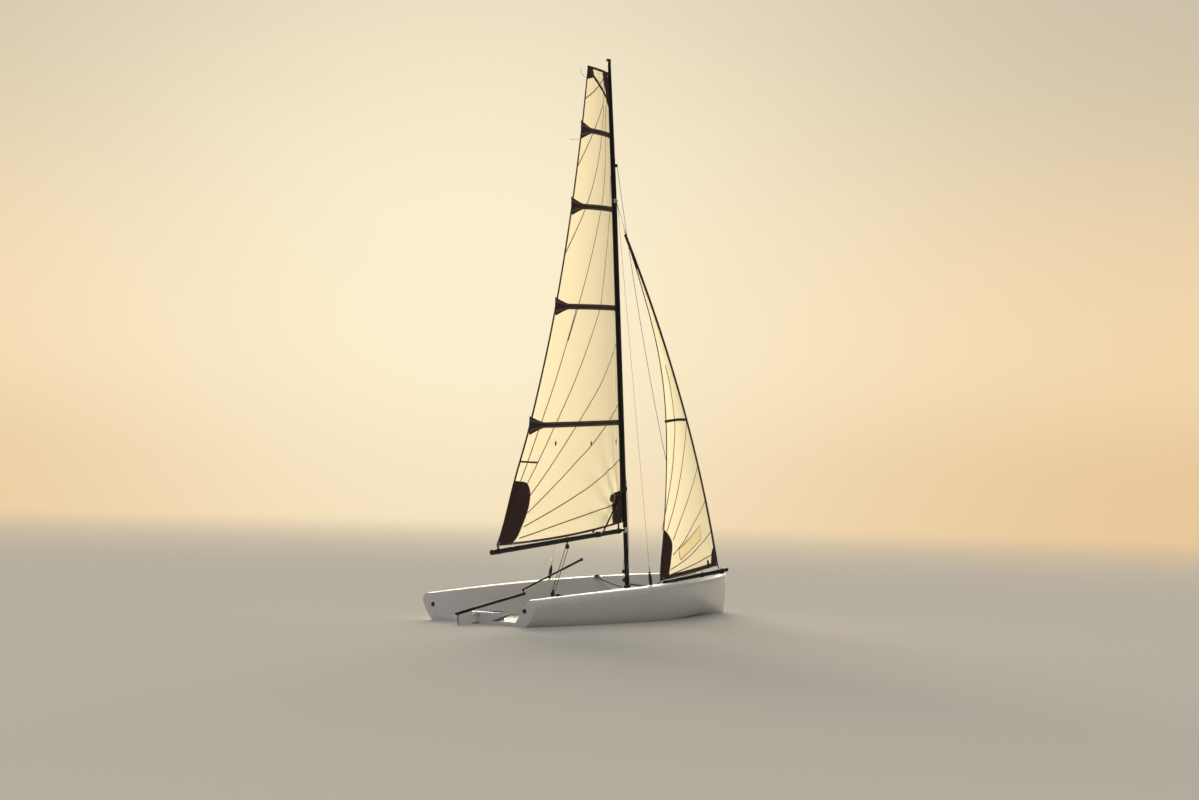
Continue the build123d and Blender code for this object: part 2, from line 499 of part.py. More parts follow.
def jib_and_track():
    frame = Pos(*TACK) * Rotation(0, -degrees(JIB_LEAN), 0)
    turned = frame * Rotation(0, 0, JIB_ANGLE)

    def sag(v):
        """How far the luff sags to leeward of the line from tack to head: an arc of a circle."""
        span = JIB_HEAD_V - JIB_FOOT_V
        radius = (span * span / 4 + JIB_SAG * JIB_SAG) / (2 * JIB_SAG)
        along = v - JIB_FOOT_V - span / 2
        return sqrt(radius * radius - along * along) - (radius - JIB_SAG)

    ends = [(0, 0, JIB_FOOT_V), (0, -JIB_SAG, (JIB_FOOT_V + JIB_HEAD_V) / 2), (0, 0, JIB_HEAD_V)]
    luff = ThreePointArc(*ends)
    start = Plane(origin=luff @ 0, z_dir=luff % 0)
    PARTS["jib_luff"] = turned * sweep(start * Circle(LUFF_R), path=luff)

    def section_points(v, chord, camber, offset):
        turn = radians(JIB_TWIST * max(v - JIB[0][0], 0) / (JIB[-1][0] - JIB[0][0]))
        points = []
        for along, out in ((0, offset), (chord / 2, chord * camber + offset), (chord, offset)):
            points.append((-LUFF_R - JIB_LUFF_GAP - along * cos(turn) + out * sin(turn),
                           -sag(v) - along * sin(turn) - out * cos(turn), v))
        return points

    def layer(inner, outer):
        faces = []
        for v, share, camber in JIB:
            chord = share * JIB_FOOT
            a, b = section_points(v, chord, camber, outer), section_points(v, chord, camber, inner)
            faces.append(make_face(Curve() + [ThreePointArc(*a), Line(a[2], b[2]),
                                              ThreePointArc(*b), Line(b[0], a[0])]))
        return loft(faces)

    below = extrude(Plane.XZ * make_face(Polyline(
        (FAR, 45), (0, 45), (-CLEW_U, CLEW_V), (-CLEW_U - 500, CLEW_V + 260),
        (-CLEW_U - 500, -FAR), (FAR, -FAR), close=True)), FAR, both=True)
    PARTS["jib"] = turned * (layer(-JIB_HALF, JIB_HALF) - below)
    luff_v, leech_v = JIB_BATTEN
    chord = JIB_FOOT * JIB[4][1]
    ends = [(LUFF_R, JIB_BATTEN_TALL / 2), (chord, JIB_BATTEN_TALL / 2)]
    strip = layer(-JIB_HALF - STRIP_GAP - STRIP, -JIB_HALF - STRIP_GAP)
    PARTS["jib_batten"] = turned * (strip & pocket(ends, luff_v, (leech_v - luff_v) / chord))

    swivels = bored((0, 0, 0), (0, 0, JIB_FOOT_V - 0.8), 9, STAY_PIN_R + RUNNING)
    swivels += bored((0, 0, JIB_HEAD_V + 0.8), (0, 0, JIB_HEAD_V + 24), 8, STAY_PIN_R + RUNNING)
    PARTS["jib_swivels"] = turned * swivels
    pendant = frame * rod((0, 0, JIB_HEAD_V + 2), (0, 0, STAY.length), STAY_PIN_R)
    PARTS["forestay_pendant"] = pendant - PARTS["hounds_fitting"]
    pin = frame * rod((0, 0, -60), (0, 0, JIB_FOOT_V - 2), STAY_PIN_R)
    x, _, z = TACK
    stem = block((x - 70, -3, z - 56), (HULL_LENGTH - 14, 3, z - 22))
    stem += block((x - 60, -20, z - 56), (HULL_LENGTH - 20, 20, z - 50))
    stem += (frame * rod((0, 0, -34), (0, 0, -6), STAY_PIN_R + 4))
    PARTS["bow_fitting"] = stem + pin - PARTS["deck_moulding"]

    track = Rotation(0, 0, -TRACK_SWEEP) * revolve(
        Plane.XZ * Pos(-CAR_U, CAR_V) * Rectangle(TRACK_WIDE, TRACK_TALL), Axis.Z, 2 * TRACK_SWEEP)
    feet = Part()
    for turn in (-TRACK_SWEEP + 1.2, 0, TRACK_SWEEP - 1.2):
        foot = rod((-CAR_U, 0, CAR_V - TRACK_FOOT), (-CAR_U, 0, CAR_V), TRACK_FOOT_R)
        feet += Rotation(0, 0, turn) * foot
    PARTS["jib_track"] = frame * (track + feet) - PARTS["deck_moulding"]
    inner_wide, inner_tall = TRACK_WIDE + 2 * CAR_GAP, TRACK_TALL + 2 * CAR_GAP
    ring = Plane.XZ * Pos(-CAR_U, CAR_V) * (Rectangle(inner_wide + 2 * CAR_WALL, inner_tall + 2 * CAR_WALL)
                                            - Rectangle(inner_wide, inner_tall))
    car = Rotation(0, 0, -CAR_TURN) * revolve(ring, Axis.Z, 2 * CAR_TURN)
    lip = TRACK_WIDE / 2 - 1
    slit = block((-CAR_U - lip, -FAR, CAR_V - FAR), (-CAR_U + lip, FAR, CAR_V))
    PARTS["jib_car"] = turned * (car - slit)
    clew = Vector(-CLEW_U + 14, -sag(CLEW_V), CLEW_V - 7)
    strop = turned * rod((-CAR_U, 0, CAR_V + inner_tall / 2 + CAR_WALL - 2), clew, STROP_R)
    PARTS["jib_sheet_strop"] = strop - PARTS["jib_car"]


def tiller_underside(x):
    rise = (TILLER_FORE[2] - TILLER_AFT[2]) / (TILLER_FORE[0] - TILLER_AFT[0])
    return TILLER_AFT[2] + rise * (x - TILLER_AFT[0]) - TILLER_R / cos(atan2(rise, 1))


def steering():
    gudgeons = Part()
    for low in (2, 86):
        gudgeons += rod((PINTLE_X, 0, low), (PINTLE_X, 0, low + 14), 12)
        gudgeons += block((PINTLE_X, -9, low), (-6, 9, low + 14))
        gudgeons += block((-6, -26, low - 8), (0, 26, low + 22))
    PARTS["gudgeons"] = gudgeons - rod((PINTLE_X, 0, -60), (PINTLE_X, 0, 200), PINTLE_R)
    PARTS["pintle_rod"] = rod((PINTLE_X, 0, -22), (PINTLE_X, 0, 116), PINTLE_R)

    x, _, z = BLADE_PIVOT
    outer = BLADE_THICK / 2 + CHEEK_GAP + CHEEK
    front, back = x + BLADE_NOSE + 6, -300
    side_view = make_face(Polyline(
        (front, tiller_underside(front)), (back, tiller_underside(back)),
        (back, 20), (x - 30, -62), (x + 30, -62), (front, -20), close=True))
    cheeks = extrude(Plane.XZ * fillet(side_view.vertices(), CHEEK_ROUND), outer, both=True)
    cheeks -= block((back - 50, -outer + CHEEK, -200), (front + 50, outer - CHEEK, z + BLADE_NOSE + 4))
    head = block((front, -outer, 20), (PINTLE_X + 15, outer, 82))
    stock = cheeks + head - rod((PINTLE_X, 0, -60), (PINTLE_X, 0, 200), PINTLE_R + RUNNING)
    stock -= rod(TILLER_AFT, TILLER_FORE, TILLER_R)
    stock += rod((x, -outer, z), (x, outer, z), PIN_R)
    PARTS["rudder_stock"] = stock

    nose, depth = BLADE_NOSE, -BLADE_DEPTH
    outline = make_face(Curve() + [
        Line((nose, 0), (nose, depth + 120)),
        ThreePointArc((nose, depth + 120), (nose - 30, depth + 35), (nose - 100, depth)),
        Line((nose - 100, depth), (BLADE_TAIL + 35, depth)),
        ThreePointArc((BLADE_TAIL + 35, depth), (BLADE_TAIL + 10, depth + 10), (BLADE_TAIL, depth + 35)),
        Line((BLADE_TAIL, depth + 35), (BLADE_TAIL, -230)),
        Line((BLADE_TAIL, -230), (-60, -130)),
        Line((-60, -130), (-60, 60)),
        ThreePointArc((-60, 60), (40, 74.9), (nose, 0))])
    blank = extrude(Plane.XZ * outline, BLADE_THICK, both=True)
    blade = Pos(0, 0, -BLADE_DEPTH) * extrude(foil(nose, BLADE_TAIL, BLADE_THICK), BLADE_DEPTH + 110)
    PARTS["rudder_blade"] = Pos(x, 0, z) * ((blank & blade) - rod((0, -50, 0), (0, 50, 0), PIN_R + RUNNING))

    tiller = rod(TILLER_AFT, TILLER_FORE, TILLER_R)
    PARTS["tiller"] = tiller
    aft, fore = Vector(*TILLER_AFT), Vector(*TILLER_FORE)
    along = (fore - aft).normalized()
    joint = fore - along * 22
    up = Vector(-along.Z, 0, along.X)
    post = rod(joint + up * (TILLER_R - 1), joint + up * (TILLER_R + JOINT_TALL), 6)
    post -= tiller
    PARTS["tiller_joint"] = post
    base = joint + up * (TILLER_R + JOINT_TALL - 22)
    bore = rod(joint, joint + up * JOINT_TALL * 3, 6 + RUNNING)
    sleeve = rod(base, base + up * 20, 14) - bore
    rise = radians(EXTENSION_RISE)
    way = Vector(cos(rise), 0, sin(rise))
    arm = rod(base + up * 10 + way * 10, base + up * 10 + way * EXTENSION, 10)
    PARTS["tiller_extension"] = sleeve + (arm - bore)


def bowsprit():
    aft, fore = Vector(*POLE_AFT), Vector(*POLE_FORE)
    along = (fore - aft).normalized()

    def spot(x):
        return aft + along * ((x - aft.X) / along.X)

    pole = bored(aft, fore, POLE_R, POLE_R - 2)
    PARTS["bowsprit_pole"] = pole
    end = rod(fore - along * 30, fore, POLE_R - 2) + rod(fore, fore + along * 26, POLE_R)
    hole = fore + along * 14
    eye = rod((hole.X, hole.Y - 60, hole.Z), (hole.X, hole.Y + 60, hole.Z), TACK_LINE_R)
    PARTS["bowsprit_end"] = end - eye
    guides = Part()
    for x in GUIDES_AT:
        centre = spot(x)
        ring = bored(centre - along * 15, centre + along * 15, POLE_R + 7, POLE_R + GUIDE_GAP)
        foot = block((x - 13, centre.Y - 16, centre.Z - POLE_R - 30), (x + 13, centre.Y + 16, centre.Z))
        foot -= rod(centre - along * 60, centre + along * 60, POLE_R + 3)
        guides += ring + foot
    PARTS["bowsprit_guides"] = guides - PARTS["deck_moulding"]
    centre = spot(CHOCK_AT)
    chock = block((CHOCK_AT - 14, centre.Y - 26, centre.Z - POLE_R - 40),
                  (CHOCK_AT + 14, centre.Y + 26, centre.Z))
    chock -= rod(centre - along * 60, centre + along * 60, POLE_R + GUIDE_GAP)
    PARTS["bowsprit_chock"] = chock - PARTS["deck_moulding"]


def cockpit_gear():
    for side, name in ((1, "port"), (-1, "starboard")):
        path = [(STRAP_AFT, FLOOR_Z), (STRAP_AFT + 90, FLOOR_Z + 55), (STRAP_FORE - 90, FLOOR_Z + 60),
                (STRAP_FORE, FLOOR_Z)]
        top = [(x, z + 3) for x, z in path]
        strip = extrude(Plane.XZ * make_face(Polyline(*path, *reversed(top), close=True)), 25, both=True)
        feet = Part()
        for x in (STRAP_AFT - 12, STRAP_FORE + 12):
            feet += block((x - 12, -25, FLOOR_Z), (x + 12, 25, FLOOR_Z + 6))
        PARTS[f"hiking_strap_{name}"] = Pos(0, side * STRAP_Y, 0) * (strip + feet)
    x = SWIVEL_X
    base = rod((x, 0, CASE_TOP), (x, 0, CASE_TOP + 8), 30)
    base += rod((x, 0, CASE_TOP + 8), (x, 0, CASE_TOP + 34), 9)
    base += Pos(x, 0, CASE_TOP + 54) * pulley(24, 20)
    PARTS["mainsheet_swivel"] = base


def save():
    os.makedirs("parts", exist_ok=True)
    for name, shape in PARTS.items():
        export_step(shape, f"parts/{name}.step")


BOOM = RIG * Pos(HINGE_X, 0, 0) * Rotation(0, 0, BOOM_ANGLE)

hull_and_deck()
centreboard()
mast_and_fittings()
standing_rigging()
boom_and_sail()
jib_and_track()
steering()
bowsprit()
cockpit_gear()
save()
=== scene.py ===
# %% [markdown]
# # A two-handed sailing dinghy under sail
# The boat's hard pieces come ready from the frame. This lesson gives them their finishes and adds what a
# boatyard and a sail loft add: cloth, battens, seams, ropes and blocks. All lengths are metres, +X is the
# bow, +Y is port and z = 0 is the waterline.

# %% Load the frame
import json
from math import atan2, cos, exp, pi, radians, sin, sqrt

import bmesh
import bpy
from mathutils import Matrix, Vector


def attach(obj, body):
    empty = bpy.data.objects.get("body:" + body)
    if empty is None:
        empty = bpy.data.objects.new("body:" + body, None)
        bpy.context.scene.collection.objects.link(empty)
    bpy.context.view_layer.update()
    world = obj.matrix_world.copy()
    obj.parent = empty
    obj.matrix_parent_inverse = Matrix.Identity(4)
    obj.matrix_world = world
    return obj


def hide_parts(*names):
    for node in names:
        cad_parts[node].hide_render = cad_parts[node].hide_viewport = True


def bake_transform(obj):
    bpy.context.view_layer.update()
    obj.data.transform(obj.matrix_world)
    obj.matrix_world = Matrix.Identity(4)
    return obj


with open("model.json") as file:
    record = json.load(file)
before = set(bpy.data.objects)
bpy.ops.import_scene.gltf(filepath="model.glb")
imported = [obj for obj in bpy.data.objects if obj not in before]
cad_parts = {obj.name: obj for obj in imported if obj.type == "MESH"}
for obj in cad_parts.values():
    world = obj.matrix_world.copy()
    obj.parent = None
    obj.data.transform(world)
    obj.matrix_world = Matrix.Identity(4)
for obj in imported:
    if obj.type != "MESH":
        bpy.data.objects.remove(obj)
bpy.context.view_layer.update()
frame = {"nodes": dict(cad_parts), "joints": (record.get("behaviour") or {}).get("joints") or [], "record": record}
nodes = frame["nodes"]
joints = {joint["name"]: joint for joint in frame["joints"]}
PORT_AND_STARBOARD = (1, -1)

# %% [markdown]
# ## The camera
# The boat sails away from the eye: it is seen from its starboard quarter with a long lens, from a little
# above its waterline. It heels and trims by a degree or so. The boat could be leaned over, but its pieces
# have to stay where the frame has them, so the camera takes the opposite lean.

# %% Camera
EYE_HEIGHT, EYE_DISTANCE = 1.384, 25.0
PIVOT = Vector((2.0, 0, 0))
BOW_TURN, HEEL, TRIM = radians(50.4), radians(1.46), radians(0.743)
TILT_UP = radians(2.39)
FOCAL, FAR_CLIP = 67.2, 500


def turned(angle, axis):
    return Matrix.Rotation(angle, 4, axis)


def shifted(place):
    return Matrix.Translation(place)


def put_in_scene(name, data):
    made = bpy.data.objects.new(name, data)
    bpy.context.scene.collection.objects.link(made)
    return made


def make_camera():
    afloat = shifted((0, EYE_DISTANCE, 0)) @ turned(BOW_TURN, "Z") @ turned(TRIM, "Y") @ turned(HEEL, "X")
    afloat = afloat @ shifted(-PIVOT)
    eye = shifted((0, 0, EYE_HEIGHT)) @ turned(radians(90) + TILT_UP, "X")
    data = bpy.data.cameras.new("camera")
    data.lens = FOCAL
    data.clip_end = FAR_CLIP
    camera = put_in_scene("camera", data)
    camera.matrix_world = afloat.inverted() @ eye
    bpy.context.scene.camera = camera
    print("camera at", [round(x, 2) for x in camera.matrix_world.translation])


make_camera()

# %% [markdown]
# ## Nodes by a few helpers
# A material is a tree of nodes. Written out, each link takes a line, and the tree is hard to see. So one
# helper makes a node and fills its inputs, whether with plain values or with the outputs of other nodes.

# %% Node helpers
def plug(value, socket):
    """Links a node's output to an input, or sets the input where the value is a plain one."""
    if isinstance(value, bpy.types.NodeSocket):
        socket.id_data.links.new(value, socket)
    else:
        socket.default_value = value


def fill(node, **values):
    """Fills inputs by name, with _ for a space, and sets the node itself where no input has the name."""
    for key, value in values.items():
        label = key.replace("_", " ")
        if label in node.inputs.keys():
            plug(value, node.inputs[label])
        else:
            setattr(node, key, value)
    return node


def add_node(tree, kind, **values):
    return fill(tree.nodes.new(kind), **values)


def math_node(tree, operation, *values):
    node = add_node(tree, "ShaderNodeMath", operation=operation)
    for value, socket in zip(values, node.inputs):
        plug(value, socket)
    return node.outputs[0]


def mix_colours(tree, share, first, second):
    """A Mix node has sockets for all its kinds. Those of its colours are numbers 6 and 7, and output 2."""
    node = add_node(tree, "ShaderNodeMix", data_type="RGBA")
    for value, number in ((share, 0), (first, 6), (second, 7)):
        plug(value, node.inputs[number])
    return node.outputs[2]


def mix_shaders(tree, share, first, second):
    """Mixes two shaders into the surface of the material."""
    node = tree.nodes.new("ShaderNodeMixShader")
    for value, socket in zip((share, first.outputs[0], second.outputs[0]), node.inputs):
        plug(value, socket)
    plug(node.outputs[0], tree.nodes["Material Output"].inputs["Surface"])


def new_material(name, **values):
    """A material, its tree and its Principled shader with these values."""
    material = bpy.data.materials.new(name)
    material.use_nodes = True
    return material, material.node_tree, fill(material.node_tree.nodes["Principled BSDF"], **values)


# %% [markdown]
# ## Floor, backdrop and light
# A low soft light from beyond the port bow shines through the cloth, as a low sun does, and a weak cool
# one from above keeps the shaded hull readable. The matt floor lies at the waterline. Its far edge would
# show as a tilted line, since the camera leans, so it fades into a plain warm backdrop.

# %% Floor
FLOOR_SIZE, FLOOR_COLOUR, FLOOR_ROUGH = 240, (0.68, 0.65, 0.60), 0.9
FADE_FROM, FADE_TO = 9.0, 60.0


def make_floor():
    bm = bmesh.new()
    bmesh.ops.create_grid(bm, x_segments=1, y_segments=1, size=FLOOR_SIZE / 2)
    mesh = bpy.data.meshes.new("floor")
    bm.to_mesh(mesh)
    bm.free()
    floor = put_in_scene("floor", mesh)
    material, tree, shader = new_material("matt floor", Base_Color=(*FLOOR_COLOUR, 1), Roughness=FLOOR_ROUGH,
                                          Specular_IOR_Level=0.0)
    place = add_node(tree, "ShaderNodeTexCoord")
    away = add_node(tree, "ShaderNodeVectorMath", operation="LENGTH", Vector=place.outputs["Object"])
    fade = add_node(tree, "ShaderNodeMapRange", interpolation_type="SMOOTHSTEP", Value=away.outputs["Value"],
                    From_Min=FADE_FROM, From_Max=FADE_TO)
    mix_shaders(tree, fade.outputs["Result"], shader, add_node(tree, "ShaderNodeBsdfTransparent"))
    mesh.materials.append(material)
    print("floor", FLOOR_SIZE, "m wide")


make_floor()

# %% Backdrop
SUN_WAY = Vector((-0.73, -0.68, -0.20)).normalized()
BACKDROP = [
    # place from the horizon to straight up, colour
    (0.0, (0.80, 0.56, 0.31)), (0.06, (0.88, 0.66, 0.40)), (0.22, (0.60, 0.52, 0.39)),
    (0.6, (0.42, 0.42, 0.40)),
]
GLOW, GLOW_TIGHT, GLOW_SHARE = (1.0, 0.90, 0.66), 55.0, 0.85
GLOW_HEIGHT = 0.09
BACKDROP_LIGHT = 0.38


def ramp_node(tree, share, stops):
    ramp = add_node(tree, "ShaderNodeValToRGB", Fac=share)
    ramp.color_ramp.interpolation = "EASE"
    while len(ramp.color_ramp.elements) < len(stops):
        ramp.color_ramp.elements.new(0.5)
    for element, (place, colour) in zip(ramp.color_ramp.elements, stops):
        element.position = place
        element.color = (*colour, 1)
    return ramp.outputs[0]


def make_backdrop():
    """A warm gradient, brightest round the low light. Only a part of its strength falls on the boat."""
    world = bpy.data.worlds.new("studio")
    world.use_nodes = True
    tree = world.node_tree
    way = add_node(tree, "ShaderNodeTexCoord").outputs["Generated"]
    parts = add_node(tree, "ShaderNodeSeparateXYZ", Vector=way)
    sky = ramp_node(tree, math_node(tree, "MAXIMUM", parts.outputs["Z"], 0.0), BACKDROP)
    towards = add_node(tree, "ShaderNodeVectorMath", operation="DOT_PRODUCT", Vector=way)
    towards.inputs[1].default_value = -Vector((SUN_WAY.x, SUN_WAY.y, -GLOW_HEIGHT)).normalized()
    glow = math_node(tree, "POWER", math_node(tree, "MAXIMUM", towards.outputs["Value"], 0.0), GLOW_TIGHT)
    shown = mix_colours(tree, math_node(tree, "MULTIPLY", glow, GLOW_SHARE), sky, (*GLOW, 1))
    seen = add_node(tree, "ShaderNodeLightPath").outputs["Is Camera Ray"]
    unlit = math_node(tree, "MULTIPLY", seen, 1 - BACKDROP_LIGHT)
    fill(tree.nodes["Background"], Color=shown, Strength=math_node(tree, "ADD", unlit, BACKDROP_LIGHT))
    bpy.context.scene.world = world
    print("backdrop in", len(BACKDROP), "colours")


make_backdrop()

# %% Lights
LIGHTS = [
    # name, strength, colour, the way it shines, width in degrees
    ("low sun", 5.4, (1.0, 0.88, 0.68), SUN_WAY, 42),
    ("fill", 0.65, (0.80, 0.88, 1.0), (0.35, 0.30, -1.0), 70),
]


def make_light(name, energy, colour, way, wide):
    data = bpy.data.lights.new(name, "SUN")
    data.energy = energy
    data.color = colour
    data.angle = radians(wide)
    light = put_in_scene(name, data)
    light.rotation_mode = "QUATERNION"
    light.rotation_quaternion = Vector(way).to_track_quat("-Z", "Y")
    print("light", name, energy)


for row in LIGHTS:
    make_light(*row)
bpy.context.scene.view_settings.view_transform = "Standard"

# %% [markdown]
# ## Finishes
# An effect that several materials share could be built again in each, but then a change would be made
# many times. So three effects are node groups, made once: mottling for moulded plastic, paint and cloth,
# a weave for cloth and rope, and stitching for what is sewn. Each material gives them its own values.

# %% Group helpers
FLOAT, COLOUR, VECTOR = "NodeSocketFloat", "NodeSocketColor", "NodeSocketVector"


def new_group(name, inputs, outputs):
    """A node group, the sockets it is given and the node that puts its results out."""
    group = bpy.data.node_groups.new(name, "ShaderNodeTree")
    for label, kind, value in inputs:
        socket = group.interface.new_socket(label, in_out="INPUT", socket_type=kind)
        if value is not None:
            socket.default_value = value
    for label, kind in outputs:
        group.interface.new_socket(label, in_out="OUTPUT", socket_type=kind)
    print("group", name)
    return group, group.nodes.new("NodeGroupInput").outputs, group.nodes.new("NodeGroupOutput")


# %% Group: mottled surface
FINER = 14.0


def build_mottle():
    """Soft colour drift and fine unevenness: a base colour in, a colour, roughness and height out."""
    group, given, made = new_group("mottle", [
        ("Vector", VECTOR, None), ("Colour", COLOUR, (0.8, 0.8, 0.8, 1)),
        ("Dark", COLOUR, (0.6, 0.6, 0.6, 1)), ("Amount", FLOAT, 0.3), ("Scale", FLOAT, 2.0),
        ("Rough", FLOAT, 0.3), ("Rough spread", FLOAT, 0.1),
    ], [("Colour", COLOUR), ("Roughness", FLOAT), ("Height", FLOAT)])
    broad = add_node(group, "ShaderNodeTexNoise", Vector=given["Vector"], Scale=given["Scale"], Detail=4.0,
                     Roughness=0.6).outputs["Fac"]
    fine = add_node(group, "ShaderNodeTexNoise", Vector=given["Vector"], Detail=5.0, Roughness=0.7,
                    Scale=math_node(group, "MULTIPLY", given["Scale"], FINER)).outputs["Fac"]
    share = math_node(group, "MULTIPLY", broad, given["Amount"])
    spread = math_node(group, "MULTIPLY", math_node(group, "SUBTRACT", fine, 0.5), given["Rough spread"])
    fill(made, Colour=mix_colours(group, share, given["Colour"], given["Dark"]),
         Roughness=math_node(group, "ADD", given["Rough"], spread), Height=fine)
    return group


MOTTLE = build_mottle()

# %% Group: weave
def build_weave():
    """Crossing threads at an even spacing, from a map in metres: a mask and a height out."""
    group, given, made = new_group("weave", [("Vector", VECTOR, None), ("Threads", FLOAT, 200.0)],
                                   [("Mask", FLOAT), ("Height", FLOAT)])
    parts = add_node(group, "ShaderNodeSeparateXYZ", Vector=given["Vector"])
    waves = []
    for axis in (0, 1):
        turns = math_node(group, "MULTIPLY", parts.outputs[axis], given["Threads"])
        waves.append(math_node(group, "SINE", math_node(group, "MULTIPLY", turns, 2 * pi)))
    height = math_node(group, "MULTIPLY", *waves)
    fill(made, Height=height, Mask=math_node(group, "MULTIPLY", math_node(group, "ADD", height, 1.0), 0.5))
    return group


WEAVE = build_weave()

# %% Group: stitching
def build_stitch():
    """Two rows of zigzag thread along a strip, from a map of (share across, metres along)."""
    group, given, made = new_group("stitch", [
        ("Vector", VECTOR, None), ("Period", FLOAT, 0.012), ("Row", FLOAT, 0.28), ("Swing", FLOAT, 0.07),
        ("Thread", FLOAT, 0.03),
    ], [("Mask", FLOAT)])
    parts = add_node(group, "ShaderNodeSeparateXYZ", Vector=given["Vector"])
    turns = math_node(group, "DIVIDE", parts.outputs["Y"], given["Period"])
    wave = math_node(group, "SUBTRACT", math_node(group, "PINGPONG", turns, 0.5), 0.25)
    from_middle = math_node(group, "ABSOLUTE", math_node(group, "SUBTRACT", parts.outputs["X"], 0.5))
    swung = math_node(group, "MULTIPLY", wave, math_node(group, "MULTIPLY", given["Swing"], 4.0))
    off = math_node(group, "SUBTRACT", math_node(group, "SUBTRACT", from_middle, given["Row"]), swung)
    fill(made, Mask=math_node(group, "LESS_THAN", math_node(group, "ABSOLUTE", off), given["Thread"]))
    return group


STITCH = build_stitch()

# %% [markdown]
# ### Moulded and metal finishes
# The hull's gelcoat is glossy with a faint drift of colour, and the deck's is duller. Spars are satin
# black, moulded fittings are matt black and the stainless pieces are bright but not mirrors. They differ
# in numbers only, so one function makes them all from a short table.

# %% Hard materials
def hard_material(name, colour, dark, amount, scale, rough, spread, bump, metallic, coat, shine):
    material, tree, shader = new_material(name, Metallic=metallic, Coat_Weight=coat, Specular_IOR_Level=shine)
    place = add_node(tree, "ShaderNodeTexCoord")
    mottle = add_node(tree, "ShaderNodeGroup", node_tree=MOTTLE, Vector=place.outputs["Object"],
                      Colour=(*colour, 1), Dark=(*dark, 1), Amount=amount, Scale=scale, Rough=rough,
                      Rough_spread=spread).outputs
    relief = add_node(tree, "ShaderNodeBump", Strength=1.0, Distance=bump, Height=mottle["Height"])
    fill(shader, Base_Color=mottle["Colour"], Roughness=mottle["Roughness"], Normal=relief.outputs["Normal"])
    return material


HARD = {
    # name: colour, darker colour, amount, scale, roughness, spread, bump, metallic, coat, shine
    "hull gelcoat": ((0.76, 0.77, 0.78), (0.64, 0.66, 0.68), 0.35, 1.6, 0.26, 0.10, 0.0002, 0.0, 0.2, 0.5),
    "deck gelcoat": ((0.72, 0.73, 0.74), (0.60, 0.62, 0.64), 0.40, 2.2, 0.50, 0.14, 0.0003, 0.0, 0.0, 0.2),
    "foil white": ((0.78, 0.78, 0.77), (0.66, 0.67, 0.66), 0.40, 3.0, 0.26, 0.12, 0.0002, 0.0, 0.3, 0.5),
    "black spar": ((0.014, 0.014, 0.016), (0.035, 0.033, 0.031), 0.5, 5.0, 0.52, 0.20, 0.0002, 0.0, 0.0, 0.2),
    "black fitting": ((0.025, 0.025, 0.027), (0.06, 0.058, 0.055), 0.5, 9.0, 0.55, 0.2, 0.0003, 0.0, 0.0,
                      0.2),
    "stainless": ((0.60, 0.60, 0.60), (0.42, 0.41, 0.40), 0.5, 12.0, 0.26, 0.2, 0.0001, 1.0, 0.0, 0.5),
}
materials = {name: hard_material(name, *row) for name, row in HARD.items()}
print(len(materials), "hard materials")

# %% [markdown]
# ### Grip on the deck
# A deck is moulded with small bumps where feet stand. As real shapes they would be hundreds of thousands
# of faces for a relief of half a millimetre, so they are a bump pattern. A mask keeps them on faces that
# look up.

# %% Grip
GRIP_CELLS, GRIP_DEPTH = 190.0, 0.0006
LEVEL_FROM, LEVEL_TO = 0.965, 0.99


def add_grip(material):
    tree = material.node_tree
    shader = tree.nodes["Principled BSDF"]
    place = add_node(tree, "ShaderNodeTexCoord")
    cells = add_node(tree, "ShaderNodeTexVoronoi", Vector=place.outputs["Object"], Scale=GRIP_CELLS)
    side = add_node(tree, "ShaderNodeNewGeometry")
    parts = add_node(tree, "ShaderNodeSeparateXYZ", Vector=side.outputs["True Normal"])
    upward = add_node(tree, "ShaderNodeMapRange", Value=parts.outputs["Z"], From_Min=LEVEL_FROM,
                      From_Max=LEVEL_TO)
    bumps = math_node(tree, "SUBTRACT", 1.0, cells.outputs["Distance"])
    relief = add_node(tree, "ShaderNodeBump", Strength=1.0, Distance=GRIP_DEPTH,
                      Height=math_node(tree, "MULTIPLY", bumps, upward.outputs["Result"]),
                      Normal=shader.inputs["Normal"].links[0].from_socket)
    fill(shader, Normal=relief.outputs["Normal"])
    print("grip on", material.name)


add_grip(materials["deck gelcoat"])

# %% [markdown]
# ### Cloth
# The sails are a thin cream laminate that glows when the light is behind it. A Principled shader alone
# would leave its shaded side dark, so a Translucent one is mixed in. Corner patches and batten pockets
# are many layers of dark cloth, and hardly let light by. Seams, tapes and pockets show the rows of their
# thread.

# %% Cloth materials
CLOTH_DRIFT = 0.86
STITCH_RISE = 4.0
CLOTH = {
    # name: colour, colour and share of the light that comes through, threads a metre, roughness, thread
    "sailcloth": ((0.92, 0.90, 0.84), (1.0, 0.96, 0.82), 0.84, 60.0, 0.45, (0.92, 0.90, 0.84)),
    "film": ((0.90, 0.88, 0.82), (1.0, 0.96, 0.86), 0.94, 90.0, 0.30, (0.5, 0.45, 0.4)),
    "dark patch": ((0.045, 0.016, 0.014), (0.10, 0.02, 0.015), 0.10, 300.0, 0.7, (0.30, 0.27, 0.22)),
    # The seam's brown colour is painted shade: doubled pale cloth, dark only with the light behind it.
    "shade_painted_seam": ((0.20, 0.14, 0.09), (0.14, 0.08, 0.04), 0.22, 300.0, 0.6, (0.55, 0.48, 0.36)),
    "webbing": ((0.03, 0.03, 0.032), (0.02, 0.02, 0.02), 0.02, 500.0, 0.8, (0.18, 0.17, 0.16)),
}


